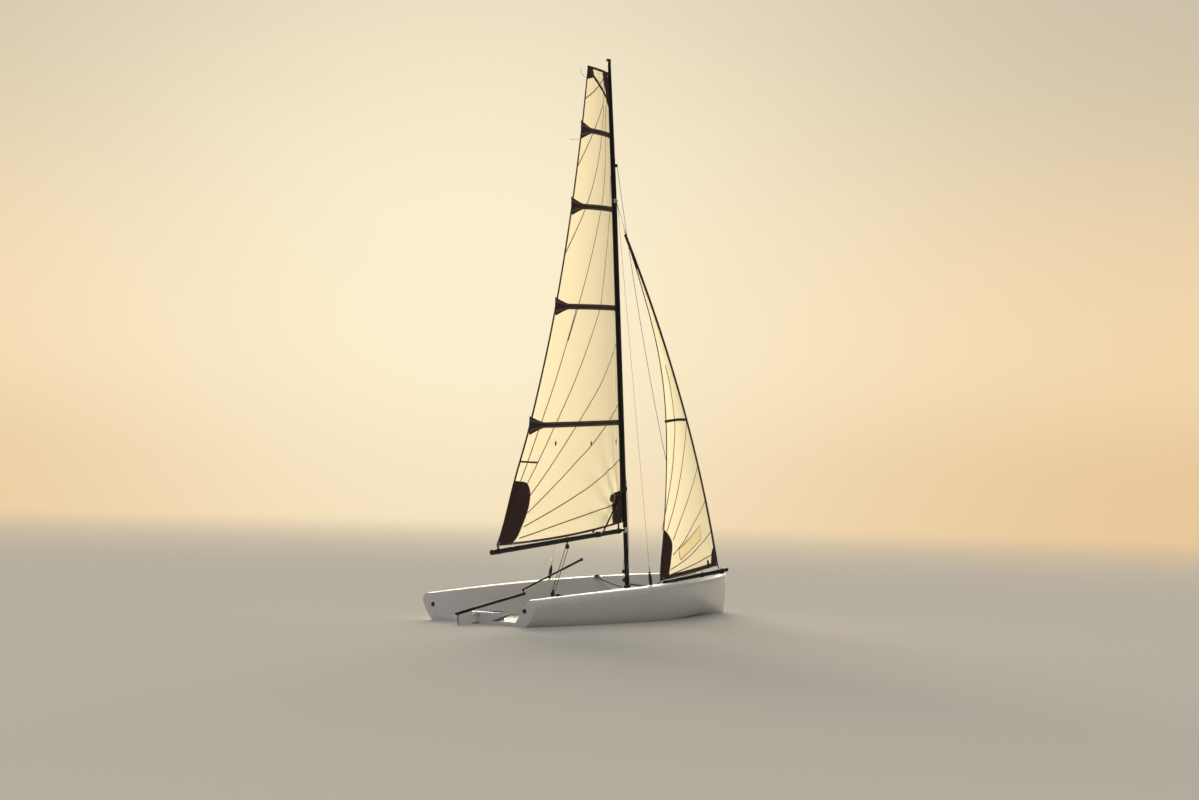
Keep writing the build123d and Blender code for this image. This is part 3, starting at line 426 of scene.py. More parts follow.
def cloth_material(name, colour, lit, through, threads, rough, thread):
    material, tree, shader = new_material(name)
    flat = add_node(tree, "ShaderNodeUVMap", uv_map="cloth").outputs[0]
    strip = add_node(tree, "ShaderNodeUVMap", uv_map="strip").outputs[0]
    weave = add_node(tree, "ShaderNodeGroup", node_tree=WEAVE, Vector=flat, Threads=threads).outputs["Height"]
    mottle = add_node(tree, "ShaderNodeGroup", node_tree=MOTTLE, Vector=flat, Colour=(*colour, 1),
                      Dark=(*[c * CLOTH_DRIFT for c in colour], 1), Amount=0.5, Scale=1.2, Rough=rough,
                      Rough_spread=0.1).outputs
    stitch = add_node(tree, "ShaderNodeGroup", node_tree=STITCH, Vector=strip).outputs["Mask"]
    raised = math_node(tree, "ADD", weave, math_node(tree, "MULTIPLY", stitch, STITCH_RISE))
    normal = add_node(tree, "ShaderNodeBump", Strength=0.3, Distance=0.0003, Height=raised).outputs["Normal"]
    fill(shader, Base_Color=mix_colours(tree, stitch, mottle["Colour"], (*thread, 1)),
         Roughness=mottle["Roughness"], Normal=normal)
    glow = add_node(tree, "ShaderNodeBsdfTranslucent", Color=(*lit, 1), Normal=normal)
    mix_shaders(tree, through, shader, glow)
    return material


materials.update({name: cloth_material(name, *row) for name, row in CLOTH.items()})
print(len(CLOTH), "cloths")

# %% [markdown]
# ### Rope
# A braid is the same crossing pattern as a weave, turned by 45 degrees. The slack ropes are curves,
# without the map that the taut ones have, so the pattern is read in the object's coordinates.

# %% Rope materials
BRAID_THREADS, ROPE_ROUGH = 150.0, 0.8
ROPES = {
    # name: colour, colour of the flecks
    "rope": ((0.030, 0.030, 0.034), (0.10, 0.09, 0.08)),
    "pale rope": ((0.30, 0.28, 0.24), (0.12, 0.11, 0.10)),
}


def rope_material(name, colour, fleck):
    material, tree, shader = new_material(name, Roughness=ROPE_ROUGH)
    place = add_node(tree, "ShaderNodeTexCoord")
    turn = add_node(tree, "ShaderNodeMapping", Vector=place.outputs["Object"], Rotation=(0, 0, radians(45)))
    braid = add_node(tree, "ShaderNodeGroup", node_tree=WEAVE, Vector=turn.outputs[0],
                     Threads=BRAID_THREADS).outputs
    lift = add_node(tree, "ShaderNodeBump", Strength=0.6, Distance=0.0006, Height=braid["Height"])
    fill(shader, Base_Color=mix_colours(tree, braid["Mask"], (*colour, 1), (*fleck, 1)),
         Normal=lift.outputs["Normal"])
    return material


materials.update({name: rope_material(name, *row) for name, row in ROPES.items()})
print(len(materials), "materials in all")

# %% [markdown]
# ## Carried-over pieces
# Each piece of the frame takes its finish from its slot. The plain sails and battens that it has are
# replaced by sewn ones further on, and of their slots only the jib's luff rod stays, which is as black as
# a spar.

# %% Finish the frame's own pieces
FINISH = {
    "hull_gelcoat": "hull gelcoat", "deck_gelcoat": "deck gelcoat", "foil_white": "foil white",
    "black_spar": "black spar", "black_fitting": "black fitting", "stainless": "stainless",
    "sailcloth": "black spar", "sail_patch": "black spar", "webbing": "black fitting",
}
for part in frame["record"]["subparts"]:
    mesh = nodes[part["node"]].data
    mesh.materials.clear()
    mesh.materials.append(materials[FINISH[part["material_slot"]]])
print(len(nodes), "frame pieces finished")

# %% [markdown]
# ## The shape of a sail
# A sail is cut with a belly and set with a twist. A cloth simulation would find some shape, but not this
# one, so a short table gives chord and camber at a few heights, and a smooth curve runs through the rows.
# A point of the sail is measured along its chord and up its luff. Every seam, pocket and patch is laid on
# the same surface.

# %% The mainsail's surface
RAKE = atan2(-joints["boom_swing"]["axis"][0], joints["boom_swing"]["axis"][2])
GOOSENECK = 0.658
BOOM_REST = radians(8)
MAIN_TWIST, TWIST_SHAPE = radians(12), 0.7
FOOT_V, HEAD_V = 0.748, 5.795
MAIN_ROWS = [
    # height, chord, camber
    (FOOT_V, 2.550, 0.020), (1.40, 2.350, 0.040), (1.96, 2.100, 0.050), (3.18, 1.590, 0.052),
    (4.27, 1.186, 0.048), (5.10, 0.900, 0.040), (HEAD_V, 0.672, 0.030),
]
MAIN_FOLDS = [
    # corner, how far the folds reach, how many, how deep, how far the stiff patch holds them off
    ((0, FOOT_V), 0.45, 17, 0.022, 0.36), ((MAIN_ROWS[0][1], FOOT_V), 0.60, 13, 0.010, 0.60),
]
RIPPLE_DEEP, RIPPLE_WIDE, RIPPLE_REACH = 0.005, 0.13, 0.22
FOLDS_FROM_LUFF = 12
boom_frame = (shifted(joints["boom_swing"]["pos_m"]) @ turned(-RAKE, "Y") @ turned(BOOM_REST, "Z")
              @ shifted((0, 0, -GOOSENECK)))


def smooth_row(rows, column, at):
    """The value of one column at a height, on a smooth curve through the rows."""
    last = len(rows) - 1
    index = next((i for i in range(last) if at <= rows[i + 1][0]), last - 1)

    def slope(i):
        low, high = max(i - 1, 0), min(i + 1, last)
        return (rows[high][column] - rows[low][column]) / (rows[high][0] - rows[low][0])

    step = rows[index + 1][0] - rows[index][0]
    t = (at - rows[index][0]) / step
    y0, y1 = rows[index][column], rows[index + 1][column]
    return ((1 + 2 * t) * (1 - t) ** 2 * y0 + t * (1 - t) ** 2 * step * slope(index)
            + t * t * (3 - 2 * t) * y1 - t * t * (1 - t) * step * slope(index + 1))


def crease(s, v, corner, reach, count, depth, stiff):
    """Soft folds that fan out of a loaded corner, past the stiff patch there."""
    away = sqrt((s - corner[0]) ** 2 + (v - corner[1]) ** 2)
    angle = atan2(v - corner[1], s - corner[0])
    fade = exp(-away / reach) * min(away / stiff, 1) ** 3
    return depth * fade * sin(count * angle)


def bellied(rows, s, v, folds):
    """How far the cloth stands out of its chord at (s, v)."""
    chord = smooth_row(rows, 1, v)
    share = min(max(s / chord, 0), 1)
    return chord * smooth_row(rows, 2, v) * 4 * share * (1 - share) + folds * min(share * FOLDS_FROM_LUFF, 1)


def main_point(s, v, out=0.0):
    """A point of the mainsail: s along the chord from the luff, v up the mast, out to leeward."""
    turn = MAIN_TWIST * (max(v - FOOT_V, 0) / (HEAD_V - FOOT_V)) ** TWIST_SHAPE
    ripples = RIPPLE_DEEP * sin(2 * pi * s / RIPPLE_WIDE) * exp(-s / RIPPLE_REACH)
    out += bellied(MAIN_ROWS, s, v, sum(crease(s, v, *row) for row in MAIN_FOLDS) + ripples)
    return boom_frame @ Vector((-s * cos(turn) + out * sin(turn), -s * sin(turn) - out * cos(turn), v))


print("mainsail's clew at", [round(x, 3) for x in main_point(MAIN_ROWS[0][1], FOOT_V)])

# %% The jib's surface
JIB_LEAN = atan2(-joints["jib_swing"]["axis"][0], joints["jib_swing"]["axis"][2])
JIB_REST, JIB_TWIST = radians(6), radians(6)
LUFF_OUT = 0.0053
JIB_ROWS = [
    # height, chord, camber
    (0.04, 1.330, 0.020), (0.56, 1.290, 0.045), (1.00, 1.060, 0.055), (1.50, 0.785, 0.058),
    (2.00, 0.525, 0.058), (2.50, 0.312, 0.055), (3.00, 0.180, 0.050), (3.60, 0.095, 0.040),
    (4.27, 0.024, 0.020),
]
JIB_FOLDS = [((0, 0), 0.35, 13, 0.006, 0.30), ((1.26, 0.515), 0.35, 13, 0.005, 0.45)]
STAY_LOW, STAY_HIGH, STAY_SAG = 0.025, 4.290, 0.135
STAY_HALF = (STAY_HIGH - STAY_LOW) / 2
STAY_BEND = (STAY_HALF ** 2 + STAY_SAG ** 2) / (2 * STAY_SAG)
jib_frame = shifted(joints["jib_swing"]["pos_m"]) @ turned(-JIB_LEAN, "Y") @ turned(JIB_REST, "Z")


def jib_point(s, v, out=0.0):
    """A point of the jib: s along the chord from the luff, v up the sagging stay, out to leeward."""
    turn = JIB_TWIST * max(v - JIB_ROWS[0][0], 0) / (JIB_ROWS[-1][0] - JIB_ROWS[0][0])
    sag = sqrt(STAY_BEND ** 2 - (v - STAY_LOW - STAY_HALF) ** 2) - (STAY_BEND - STAY_SAG)
    out += bellied(JIB_ROWS, s, v, sum(crease(s, v, *row) for row in JIB_FOLDS))
    ahead = -LUFF_OUT - s * cos(turn) + out * sin(turn)
    return jib_frame @ Vector((ahead, -sag - s * sin(turn) - out * cos(turn), v))


print("jib's tack at", [round(x, 3) for x in jib_point(0, JIB_ROWS[0][0])])

# %% [markdown]
# ## From a grid to a piece
# A bmesh grid is laid on a surface by moving its points, which gives even faces where a cut-out shape
# would give slivers. The grid's place on the flat material, in metres, is kept as its UV map, so the
# weave follows the cloth. The thickness comes from a Solidify modifier, so that it stays one number.

# %% Piece helpers
def finish_piece(name, bm, material, body, smooth=True):
    for face in bm.faces:
        face.smooth = smooth
    mesh = bpy.data.meshes.new(name)
    bm.to_mesh(mesh)
    bm.free()
    mesh.materials.append(materials[material])
    piece = put_in_scene(name, mesh)
    if body:
        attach(piece, body)
    print(name, len(mesh.polygons), "faces")
    return piece


def thicken(piece, thickness):
    solid = piece.modifiers.new("thickness", "SOLIDIFY")
    solid.thickness = thickness
    solid.offset = 0
    solid.use_rim = True
    return piece


def flat_map(bm, name):
    return bm.loops.layers.uv.get(name) or bm.loops.layers.uv.new(name)


def lay_grid(bm, across, along, place, flat, strip=None):
    """Adds a grid whose corners run from 0 to 1 both ways, and lays it with place(t, k) and flat(t, k).
    A sewn strip also keeps how far across and along it each point is."""
    cloth = flat_map(bm, "cloth")
    sewn = flat_map(bm, "strip") if strip else None
    made = bmesh.ops.create_grid(bm, x_segments=across, y_segments=along, size=0.5)["verts"]
    spots = {vert: (vert.co.x + 0.5, vert.co.y + 0.5) for vert in made}
    for face in {face for vert in made for face in vert.link_faces}:
        for loop in face.loops:
            t, k = spots[loop.vert]
            loop[cloth].uv = flat(t, k)
            if strip:
                loop[sewn].uv = (t, k * strip)
    for vert, (t, k) in spots.items():
        vert.co = place(t, k)


# %% [markdown]
# ## The mainsail
# The mainsail is one fine grid on its surface. Its lowest and highest rows follow the curves of the foot
# and the head, so nothing has to be cut. It stands for the plain sail of the frame, which is hidden.

# %% Mainsail cloth
CLOTH_THICK = 0.0012
FOOT_ROUND, HEAD_RISE = 0.035, 0.02
MAIN_CELLS = (90, 190)


def main_chord(v):
    return smooth_row(MAIN_ROWS, 1, v)


def main_foot(s):
    """Height of the mainsail's foot, which sags between its corners."""
    share = s / MAIN_ROWS[0][1]
    return FOOT_V - FOOT_ROUND * 4 * share * (1 - share)


def main_spot(t, k):
    """(s, v) of the mainsail's cloth: t from luff to leech, k from foot to head."""
    low = main_foot(t * MAIN_ROWS[0][1])
    v = low + (HEAD_V + HEAD_RISE * t - low) * k
    return Vector((t * main_chord(v), v))


def row_area(rows, steps=400):
    """The area between the luff and the leech of a sail's table."""
    low, high = rows[0][0], rows[-1][0]
    width = (high - low) / steps
    return sum(smooth_row(rows, 1, low + (i + 0.5) * width) for i in range(steps)) * width


def make_main():
    bm = bmesh.new()
    lay_grid(bm, *MAIN_CELLS, lambda t, k: main_point(*main_spot(t, k)), main_spot)
    cloth = thicken(finish_piece("main_cloth", bm, "sailcloth", "boom"), CLOTH_THICK)
    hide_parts("mainsail")
    area = row_area(MAIN_ROWS) + 2 / 3 * FOOT_ROUND * MAIN_ROWS[0][1]
    print("mainsail", round(area, 2), "square metres")


make_main()

# %% [markdown]
# ### Battens in their pockets
# Full battens hold the sail's curve. Each lies in a pocket of dark cloth that flares where it is sewn
# down at the leech. A strip along a line, with a width at each point, makes a pocket in one go, and it
# bends with the sail because its points are laid on the sail's surface.

# %% Strips on a sail
def even(low, high, steps):
    """Values at an even spacing from low to high, both included."""
    return [low + (high - low) * i / steps for i in range(steps + 1)]


class Route:
    """A line through points, flat or in space, walked by the share of its length.
    It carries one value, such as a width, or one for each point."""

    def __init__(self, points, values=0):
        self.spots = [Vector(p) for p in points]
        self.values = values if isinstance(values, (list, tuple)) else [values] * len(self.spots)
        self.runs = [(b - a).length for a, b in zip(self.spots, self.spots[1:])]
        self.length = sum(self.runs)

    def at(self, share):
        """The point, the direction and the value there."""
        way = share * self.length
        index = 0
        while index < len(self.runs) - 1 and way > self.runs[index]:
            way -= self.runs[index]
            index += 1
        part = min(way / self.runs[index], 1)
        a, b = self.spots[index], self.spots[index + 1]
        value = self.values[index] + (self.values[index + 1] - self.values[index]) * part
        return a.lerp(b, part), (b - a).normalized(), value


def smooth_path(points, steps=8):
    """More points along a curve through a few: a Catmull-Rom curve."""
    spots = [Vector(p) for p in points]
    spots = [spots[0] * 2 - spots[1], *spots, spots[-1] * 2 - spots[-2]]
    made = []
    for a, b, c, d in zip(spots, spots[1:], spots[2:], spots[3:]):
        for index in range(steps):
            t = index / steps
            made.append(0.5 * (2 * b + (c - a) * t + (2 * a - 5 * b + 4 * c - d) * t * t
                               + (3 * b - a - 3 * c + d) * t ** 3))
    return made + [spots[-2]]


def ribbon(bm, surface, points, width, step=0.03, across=2):
    """Lays a strip on a sail along (s, v) points, with a width or a width at each point."""
    route = Route(points, width)

    def flat(t, k):
        centre, way, wide = route.at(k)
        return centre + Vector((-way.y, way.x)) * (t - 0.5) * wide

    along = max(round(route.length / step), 2)
    lay_grid(bm, across, along, lambda t, k: surface(*flat(t, k)), flat, route.length)


def sewn_piece(name, bm, body, thick, material="dark patch"):
    """Cloth sewn on a sail. It lies through the sail's own thickness and stands out on both sides."""
    return thicken(finish_piece(name, bm, material, body), thick)


# %% Mainsail battens and pockets
POCKET_TALL, POCKET_THICK, POCKET_STEPS = 0.058, 0.005, 60
FLARE_LONG, FLARE_TALL, FLARE_SHAPE = 0.245, 0.20, 1.25
MAIN_BATTENS = [
    # height at the luff, height at the leech
    (1.875, 1.964), (3.160, 3.198), (4.265, 4.270), (5.090, 5.105),
]
GAFF = [(0.605, 5.768), (0.529, 5.707), (0.377, 5.630), (0.191, 5.534), (0.060, 5.440), (0.004, 5.340)]
SHORT_BATTEN = [(1.962, 1.567), (2.252, 1.598)]
GAFF_WIDE, SHORT_WIDE = 0.036, 0.018
LUFF_STEP = 0.006


def make_pockets():
    bm = bmesh.new()
    for luff_v, leech_v in MAIN_BATTENS:
        chord = main_chord(leech_v)
        path, widths = [], []
        for s in even(LUFF_STEP, chord, POCKET_STEPS):
            flare = max(1 - (chord - s) / FLARE_LONG, 0) ** FLARE_SHAPE
            path.append((s, luff_v + (leech_v - luff_v) * s / chord))
            widths.append(POCKET_TALL + (FLARE_TALL - POCKET_TALL) * flare)
        ribbon(bm, main_point, path, widths)
    ribbon(bm, main_point, smooth_path(GAFF), GAFF_WIDE)
    ribbon(bm, main_point, SHORT_BATTEN, SHORT_WIDE)
    pockets = sewn_piece("main_batten_pockets", bm, "boom", POCKET_THICK)
    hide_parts("mainsail_battens")


make_pockets()

# %% [markdown]
# ### Patches and tapes
# The corners carry the load of the whole sail, so a loft builds them up in layers and binds every edge
# with a tape. A patch can have any outline. It is drawn flat, cut into small cells so that it can bend,
# and then moved onto the sail. A flat face that is only projected would cut through the curved cloth.

# %% Patches on a sail
def patch(bm, surface, outline, cell=0.03):
    """Lays a piece with any outline in (s, v) on a sail, cut into cells so that it follows the curve."""
    sheet = bmesh.new()
    sheet.faces.new([sheet.verts.new((s, v, 0)) for s, v in outline])
    bmesh.ops.triangulate(sheet, faces=sheet.faces[:])
    for axis in (0, 1):
        low = min(spot[axis] for spot in outline)
        high = max(spot[axis] for spot in outline)
        normal = Vector((1 - axis, axis, 0))
        for index in range(1, int((high - low) / cell) + 1):
            whole = sheet.verts[:] + sheet.edges[:] + sheet.faces[:]
            cut = normal * (low + index * cell)
            bmesh.ops.bisect_plane(sheet, geom=whole, plane_co=cut, plane_no=normal)
    for face in sheet.faces:
        face.normal_update()
        if face.normal.z < 0:
            face.normal_flip()
    cloth = flat_map(bm, "cloth")
    moved = {vert: bm.verts.new(surface(vert.co.x, vert.co.y)) for vert in sheet.verts}
    for face in sheet.faces:
        made = bm.faces.new([moved[vert] for vert in face.verts])
        for loop, vert in zip(made.loops, face.verts):
            loop[cloth].uv = vert.co.xy
    sheet.free()


def leech_edge(chord, low, high, steps):
    """Points down a leech from high to low."""
    return [(chord(v), v) for v in even(high, low, steps)]


# %% Mainsail patches
PATCH_THICK = 0.0034
CLEW_EDGE = [
    (2.300, 0.735), (2.203, 0.823), (2.100, 1.047), (2.062, 1.240), (2.130, 1.360), (2.290, 1.400),
    (main_chord(1.40) - 0.002, 1.401),
]
CLEW_LEECH = leech_edge(main_chord, FOOT_V + 0.012, 1.39, 8)
TACK_EDGE = [
    (0.262, 0.735), (0.266, 0.90), (0.262, 1.02), (0.225, 1.088), (0.114, 1.108), (LUFF_STEP, 1.092),
]
PEAK_PATCH = [
    (main_chord(5.815) - 0.003, 5.812), (0.560, 5.808), (0.519, 5.744), (0.540, 5.692),
    (main_chord(5.66) - 0.002, 5.660),
]
THROAT_PATCH = [
    (LUFF_STEP, 5.350), (0.040, 5.425), (0.155, 5.558), (0.217, 5.684), (0.239, 5.799), (LUFF_STEP, 5.794),
]


def make_main_patches():
    bm = bmesh.new()
    patch(bm, main_point, smooth_path(CLEW_EDGE, 5) + CLEW_LEECH)
    patch(bm, main_point, smooth_path(TACK_EDGE, 5) + [(LUFF_STEP, FOOT_V + 0.004)])
    patch(bm, main_point, PEAK_PATCH)
    patch(bm, main_point, THROAT_PATCH)
    sewn_piece("main_corner_patches", bm, "boom", PATCH_THICK)


make_main_patches()

# %% Mainsail tapes
TAPE_THICK = 0.0028
# LUFF_TAPE is a real tape made wider than one: the extra width of its dark band is painted shade on the luff
# beside the mast.
TAPE_WIDE, HEAD_TAPE, LUFF_TAPE = 0.024, 0.028, 0.056
LUFF_TAPE_AT = 0.026
FOOT_TAPE_LONG = 2.53


def make_main_tapes():
    bm = bmesh.new()
    leech = leech_edge(main_chord, FOOT_V + 0.01, HEAD_V + HEAD_RISE - 0.003, 70)
    ribbon(bm, main_point, [(s - TAPE_WIDE / 2, v) for s, v in leech], TAPE_WIDE)
    foot = [(s, main_foot(s) + TAPE_WIDE / 2) for s in even(0, FOOT_TAPE_LONG, 50)]
    ribbon(bm, main_point, foot, TAPE_WIDE)
    head = main_chord(HEAD_V)
    rising = [(s, HEAD_V + HEAD_RISE * s / head - HEAD_TAPE / 2) for s in even(0, head, 10)]
    ribbon(bm, main_point, rising, HEAD_TAPE)
    # The luff tape is real, and its widened dark band also paints the shade on the luff beside the mast.
    ribbon(bm, main_point, [(LUFF_TAPE_AT, v) for v in even(FOOT_V, HEAD_V, 80)], LUFF_TAPE)
    sewn_piece("main_edge_tapes", bm, "boom", TAPE_THICK)


make_main_tapes()

# %% [markdown]
# ### Seams and draft dots
# The panels of the mainsail fan out from the clew and from the head, along the load in the cloth. Seams
# could be lines in a texture, but a real one is a doubled strip that shows dark against the light, so
# each is a narrow ribbon. The ribbon lets less light through, as doubled cloth does, and its brown colour
# is painted shade, since a seam is as pale as the rest of the sail under a light from the front. The dots
# are stuck on, and the curve of the sail is read by them.

# %% Mainsail seams
SEAM_THICK, SEAM_WIDE, SEAM_STEP = 0.0022, 0.012, 0.04
MAIN_SEAMS = [
    # the lower panels fan out from the clew
    [(2.175, 0.790), (1.30, 0.885), (0.266, 0.965)],
    [(2.125, 0.905), (0.890, 1.218), (0.613, 1.297), (0.020, 1.468)],
    [(2.090, 1.050), (1.283, 1.481), (0.880, 1.670), (0.020, 2.090)],
    [(2.062, 1.230), (1.239, 1.904), (0.575, 2.369), (0.020, 2.790)],
    [(2.127, 1.358), (1.692, 1.895), (1.257, 2.397), (0.602, 3.160)],
    [(2.244, 1.396), (1.952, 1.899), (1.635, 2.414), (1.188, 3.165)],
    # the upper panels follow the leech
    [(0.206, 5.700), (0.239, 5.467), (0.637, 5.066), (1.049, 4.671)],
    [(0.250, 5.400), (0.372, 5.060), (0.531, 4.737), (0.845, 4.308), (1.376, 3.733)],
    [(0.170, 5.420), (0.226, 5.050), (0.304, 4.683), (0.495, 4.228), (1.375, 2.828)],
    [(0.060, 4.640), (0.147, 4.261), (0.588, 3.180)],
    [(0.200, 5.720), (0.500, 5.560), (0.788, 5.438)],
]
DOTS = [
    # along the chord, height, half length, half height
    (1.643, 1.747, 0.015, 0.026), (0.882, 1.697, 0.015, 0.026), (0.152, 1.670, 0.015, 0.026),
    (0.293, 1.048, 0.046, 0.046),
]


def oval(long, wide, steps=14):
    return [(long * cos(2 * pi * i / steps), wide * sin(2 * pi * i / steps)) for i in range(steps)]


def dot(bm, surface, s, v, long, tall):
    patch(bm, surface, [(s + x, v + y) for x, y in oval(long, tall, 16)])


def lay_seams(bm, surface, seams):
    for points in seams:
        ribbon(bm, surface, smooth_path(points), SEAM_WIDE, SEAM_STEP, 1)


def make_main_seams():
    bm = bmesh.new()
    lay_seams(bm, main_point, MAIN_SEAMS)
    # The seams' brown colour is painted shade of doubled cloth against the light.
    sewn_piece("main_seams", bm, "boom", SEAM_THICK, "shade_painted_seam")
    bm = bmesh.new()
    for row in DOTS:
        dot(bm, main_point, *row)
    sewn_piece("main_draft_dots", bm, "boom", PATCH_THICK)


make_main_seams()

# %% [markdown]
# ## The jib
# The jib is made as the mainsail is, on its own surface. Its foot rises from the tack to the clew, and
# the cloth hangs from the rod in its luff alone.

# %% Jib cloth
CLEW_S, CLEW_V, TACK_V = 1.262, 0.515, 0.045
JIB_CELLS = (50, 170)


def jib_chord(v):
    return smooth_row(JIB_ROWS, 1, v)


def jib_foot(s):
    """Height of the jib's foot, which rises from the tack to the clew."""
    return TACK_V + (CLEW_V - TACK_V) * s / CLEW_S


def jib_spot(t, k):
    """(s, v) of the jib's cloth: t from luff to leech, k from foot to head."""
    low = jib_foot(t * jib_chord(CLEW_V))
    v = low + (JIB_ROWS[-1][0] - low) * k
    return Vector((t * jib_chord(v), v))


def make_jib():
    bm = bmesh.new()
    lay_grid(bm, *JIB_CELLS, lambda t, k: jib_point(*jib_spot(t, k)), jib_spot)
    cloth = thicken(finish_piece("jib_cloth", bm, "sailcloth", "jib"), CLOTH_THICK)
    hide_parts("jib")
    area = row_area(JIB_ROWS) - CLEW_S * (CLEW_V - TACK_V) / 2
    print("jib", round(area, 2), "square metres")


make_jib()

# %% [markdown]
# ### The jib's patches, tapes and seams
# The jib has one batten, patches in its corners and seams from the clew. A window of clear film gives a
# view to leeward. The film lies on the cloth here, rather than in a hole cut through it.

# %% Jib patches
JIB_CLEW_EDGE = [
    (1.153, jib_foot(1.153) + 0.004), (1.033, 0.690), (0.960, 0.830), (0.985, 0.960), (1.028, 1.045),
]
JIB_CLEW_LEECH = leech_edge(jib_chord, 0.530, 1.040, 8)
JIB_TACK_PATCH = [
    (0.006, TACK_V + 0.004), (0.120, jib_foot(0.120) + 0.002), (0.176, 0.125), (0.124, 0.266), (0.006, 0.330),
]
JIB_HEAD_PATCH = [
    (0.004, 3.85), (jib_chord(3.85) - 0.002, 3.85), (jib_chord(4.05) - 0.002, 4.05),
    (jib_chord(4.26) - 0.001, 4.26), (0.004, 4.26),
]
JIB_DOT = (0.245, 0.191, 0.032, 0.056)
JIB_BATTEN, JIB_BATTEN_WIDE = [(0.030, 1.958), (0.250, 2.058), (0.478, 2.140)], 0.030


def make_jib_patches():
    bm = bmesh.new()
    patch(bm, jib_point, smooth_path(JIB_CLEW_EDGE, 6) + JIB_CLEW_LEECH)
    patch(bm, jib_point, JIB_TACK_PATCH)
    patch(bm, jib_point, JIB_HEAD_PATCH)
    dot(bm, jib_point, *JIB_DOT)
    sewn_piece("jib_corner_patches", bm, "jib", PATCH_THICK)
    bm = bmesh.new()
    ribbon(bm, jib_point, smooth_path(JIB_BATTEN), JIB_BATTEN_WIDE)
    pocket = sewn_piece("jib_batten_pocket", bm, "jib", POCKET_THICK)
    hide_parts("jib_batten")


make_jib_patches()

# %% Jib tapes, seams and window
JIB_LUFF_TAPE, JIB_LUFF_TAPE_AT = 0.044, 0.022
JIB_LEECH_TAPE = 0.014
JIB_FOOT_TAPE, JIB_FOOT_TAPE_UP, JIB_FOOT_LONG = 0.050, 0.027, 1.26
JIB_SEAMS = [
    # from the clew patch to the luff, the lowest first
    [(1.087, 0.500), (0.630, 0.379), (0.106, 0.245)],
    [(1.084, 0.559), (0.737, 0.521), (0.416, 0.515), (0.020, 0.508)],
    [(0.991, 0.698), (0.747, 0.743), (0.427, 0.840), (0.151, 0.890), (0.020, 0.920)],
    [(0.934, 0.853), (0.658, 1.042), (0.347, 1.217), (0.139, 1.317), (0.020, 1.370)],
    [(0.993, 1.000), (0.769, 1.197), (0.523, 1.444), (0.294, 1.689), (0.030, 1.940)],
    [(1.062, 1.047), (0.675, 1.518), (0.475, 1.802), (0.320, 2.053), (0.187, 2.461), (0.150, 2.698)],
]
WINDOW = [(0.868, 0.708), (0.322, 0.738), (0.350, 0.572), (0.881, 0.572)]
WINDOW_THICK, WINDOW_EDGE = 0.0018, 0.008


def make_jib_tapes():
    bm = bmesh.new()
    ribbon(bm, jib_point, [(JIB_LUFF_TAPE_AT, v) for v in even(0.05, 4.26, 90)], JIB_LUFF_TAPE)
    leech = leech_edge(jib_chord, 0.535, 4.20, 60)
    ribbon(bm, jib_point, [(s - JIB_LEECH_TAPE / 2, v) for s, v in leech], JIB_LEECH_TAPE)
    foot = [(s, jib_foot(s) + JIB_FOOT_TAPE_UP) for s in even(0, JIB_FOOT_LONG, 30)]
    ribbon(bm, jib_point, foot, JIB_FOOT_TAPE)
    sewn_piece("jib_edge_tapes", bm, "jib", TAPE_THICK)


def make_jib_seams():
    bm = bmesh.new()
    lay_seams(bm, jib_point, JIB_SEAMS)
    ribbon(bm, jib_point, WINDOW + WINDOW[:2], WINDOW_EDGE, across=1)
    # The seams and the window's edge take the brown of painted shade, as the mainsail's seams do.
    sewn_piece("jib_seams", bm, "jib", SEAM_THICK, "shade_painted_seam")
    bm = bmesh.new()
    patch(bm, jib_point, WINDOW)
    thicken(finish_piece("jib_window", bm, "film", "jib"), WINDOW_THICK)


make_jib_tapes()
make_jib_seams()

# %% [markdown]
# ## Fittings on the sails
# Every batten ends at the mast in a moulded box that holds it to the luff rope, and the corners carry
# pressed rings. An extruded outline, bevelled along its rims, gives the boxes their moulded edge. A
# profile turned about an axis gives the rings. Both are set in a frame that lies on the cloth, so they
# follow its lean.

# %% Turned and moulded shapes
WELD = 0.00002


def lathe(bm, place, profile, sides):
    """A turned piece: (radius, height) points turned about the local Z of a place."""
    last = len(profile) - 1

    def laid(t, k):
        radius, height = profile[round(k * last)]
        angle = 2 * pi * t
        return place @ Vector((radius * cos(angle), radius * sin(angle), height))

    def flat(t, k):
        return t * 2 * pi * profile[1][0], profile[round(k * last)][1]

    lay_grid(bm, sides, last, laid, flat)
    bmesh.ops.remove_doubles(bm, verts=bm.verts, dist=WELD)


def ring_profile(radius, wire, steps=12):
    return [(radius + wire * cos(angle), wire * sin(angle)) for angle in even(0, 2 * pi, steps)]


def slab(bm, place, outline, thick, edge):
    """A plate with rounded edges: its outline is extruded along the local Z, half to each side."""
    low = [bm.verts.new(place @ Vector((x, y, -thick / 2))) for x, y in outline]
    extruded = bmesh.ops.extrude_face_region(bm, geom=[bm.faces.new(low)])["geom"]
    high = [item for item in extruded if isinstance(item, bmesh.types.BMVert)]
    bmesh.ops.translate(bm, verts=high, vec=(place.to_3x3() @ Vector((0, 0, thick))))
    ends = (set(low), set(high))
    rims = [e for e in bm.edges if any(set(e.verts) <= end for end in ends)]
    bmesh.ops.bevel(bm, geom=rims, offset=edge, segments=2, profile=0.5, affect="EDGES", material=-1)


def rounded(long, tall, corner, steps=4):
    """The outline of a rectangle with round corners, about its middle."""
    points = []
    for quarter, (side_x, side_y) in enumerate(((1, 1), (-1, 1), (-1, -1), (1, -1))):
        for angle in even(pi / 2 * quarter, pi / 2 * (quarter + 1), steps):
            points.append((side_x * (long / 2 - corner) + corner * cos(angle),
                           side_y * (tall / 2 - corner) + corner * sin(angle)))
    return points


def moulded_piece(name, bm, body):
    """A black plastic fitting. It is shaded flat, because its bevels already round its edges."""
    return finish_piece(name, bm, "black fitting", body, smooth=False)


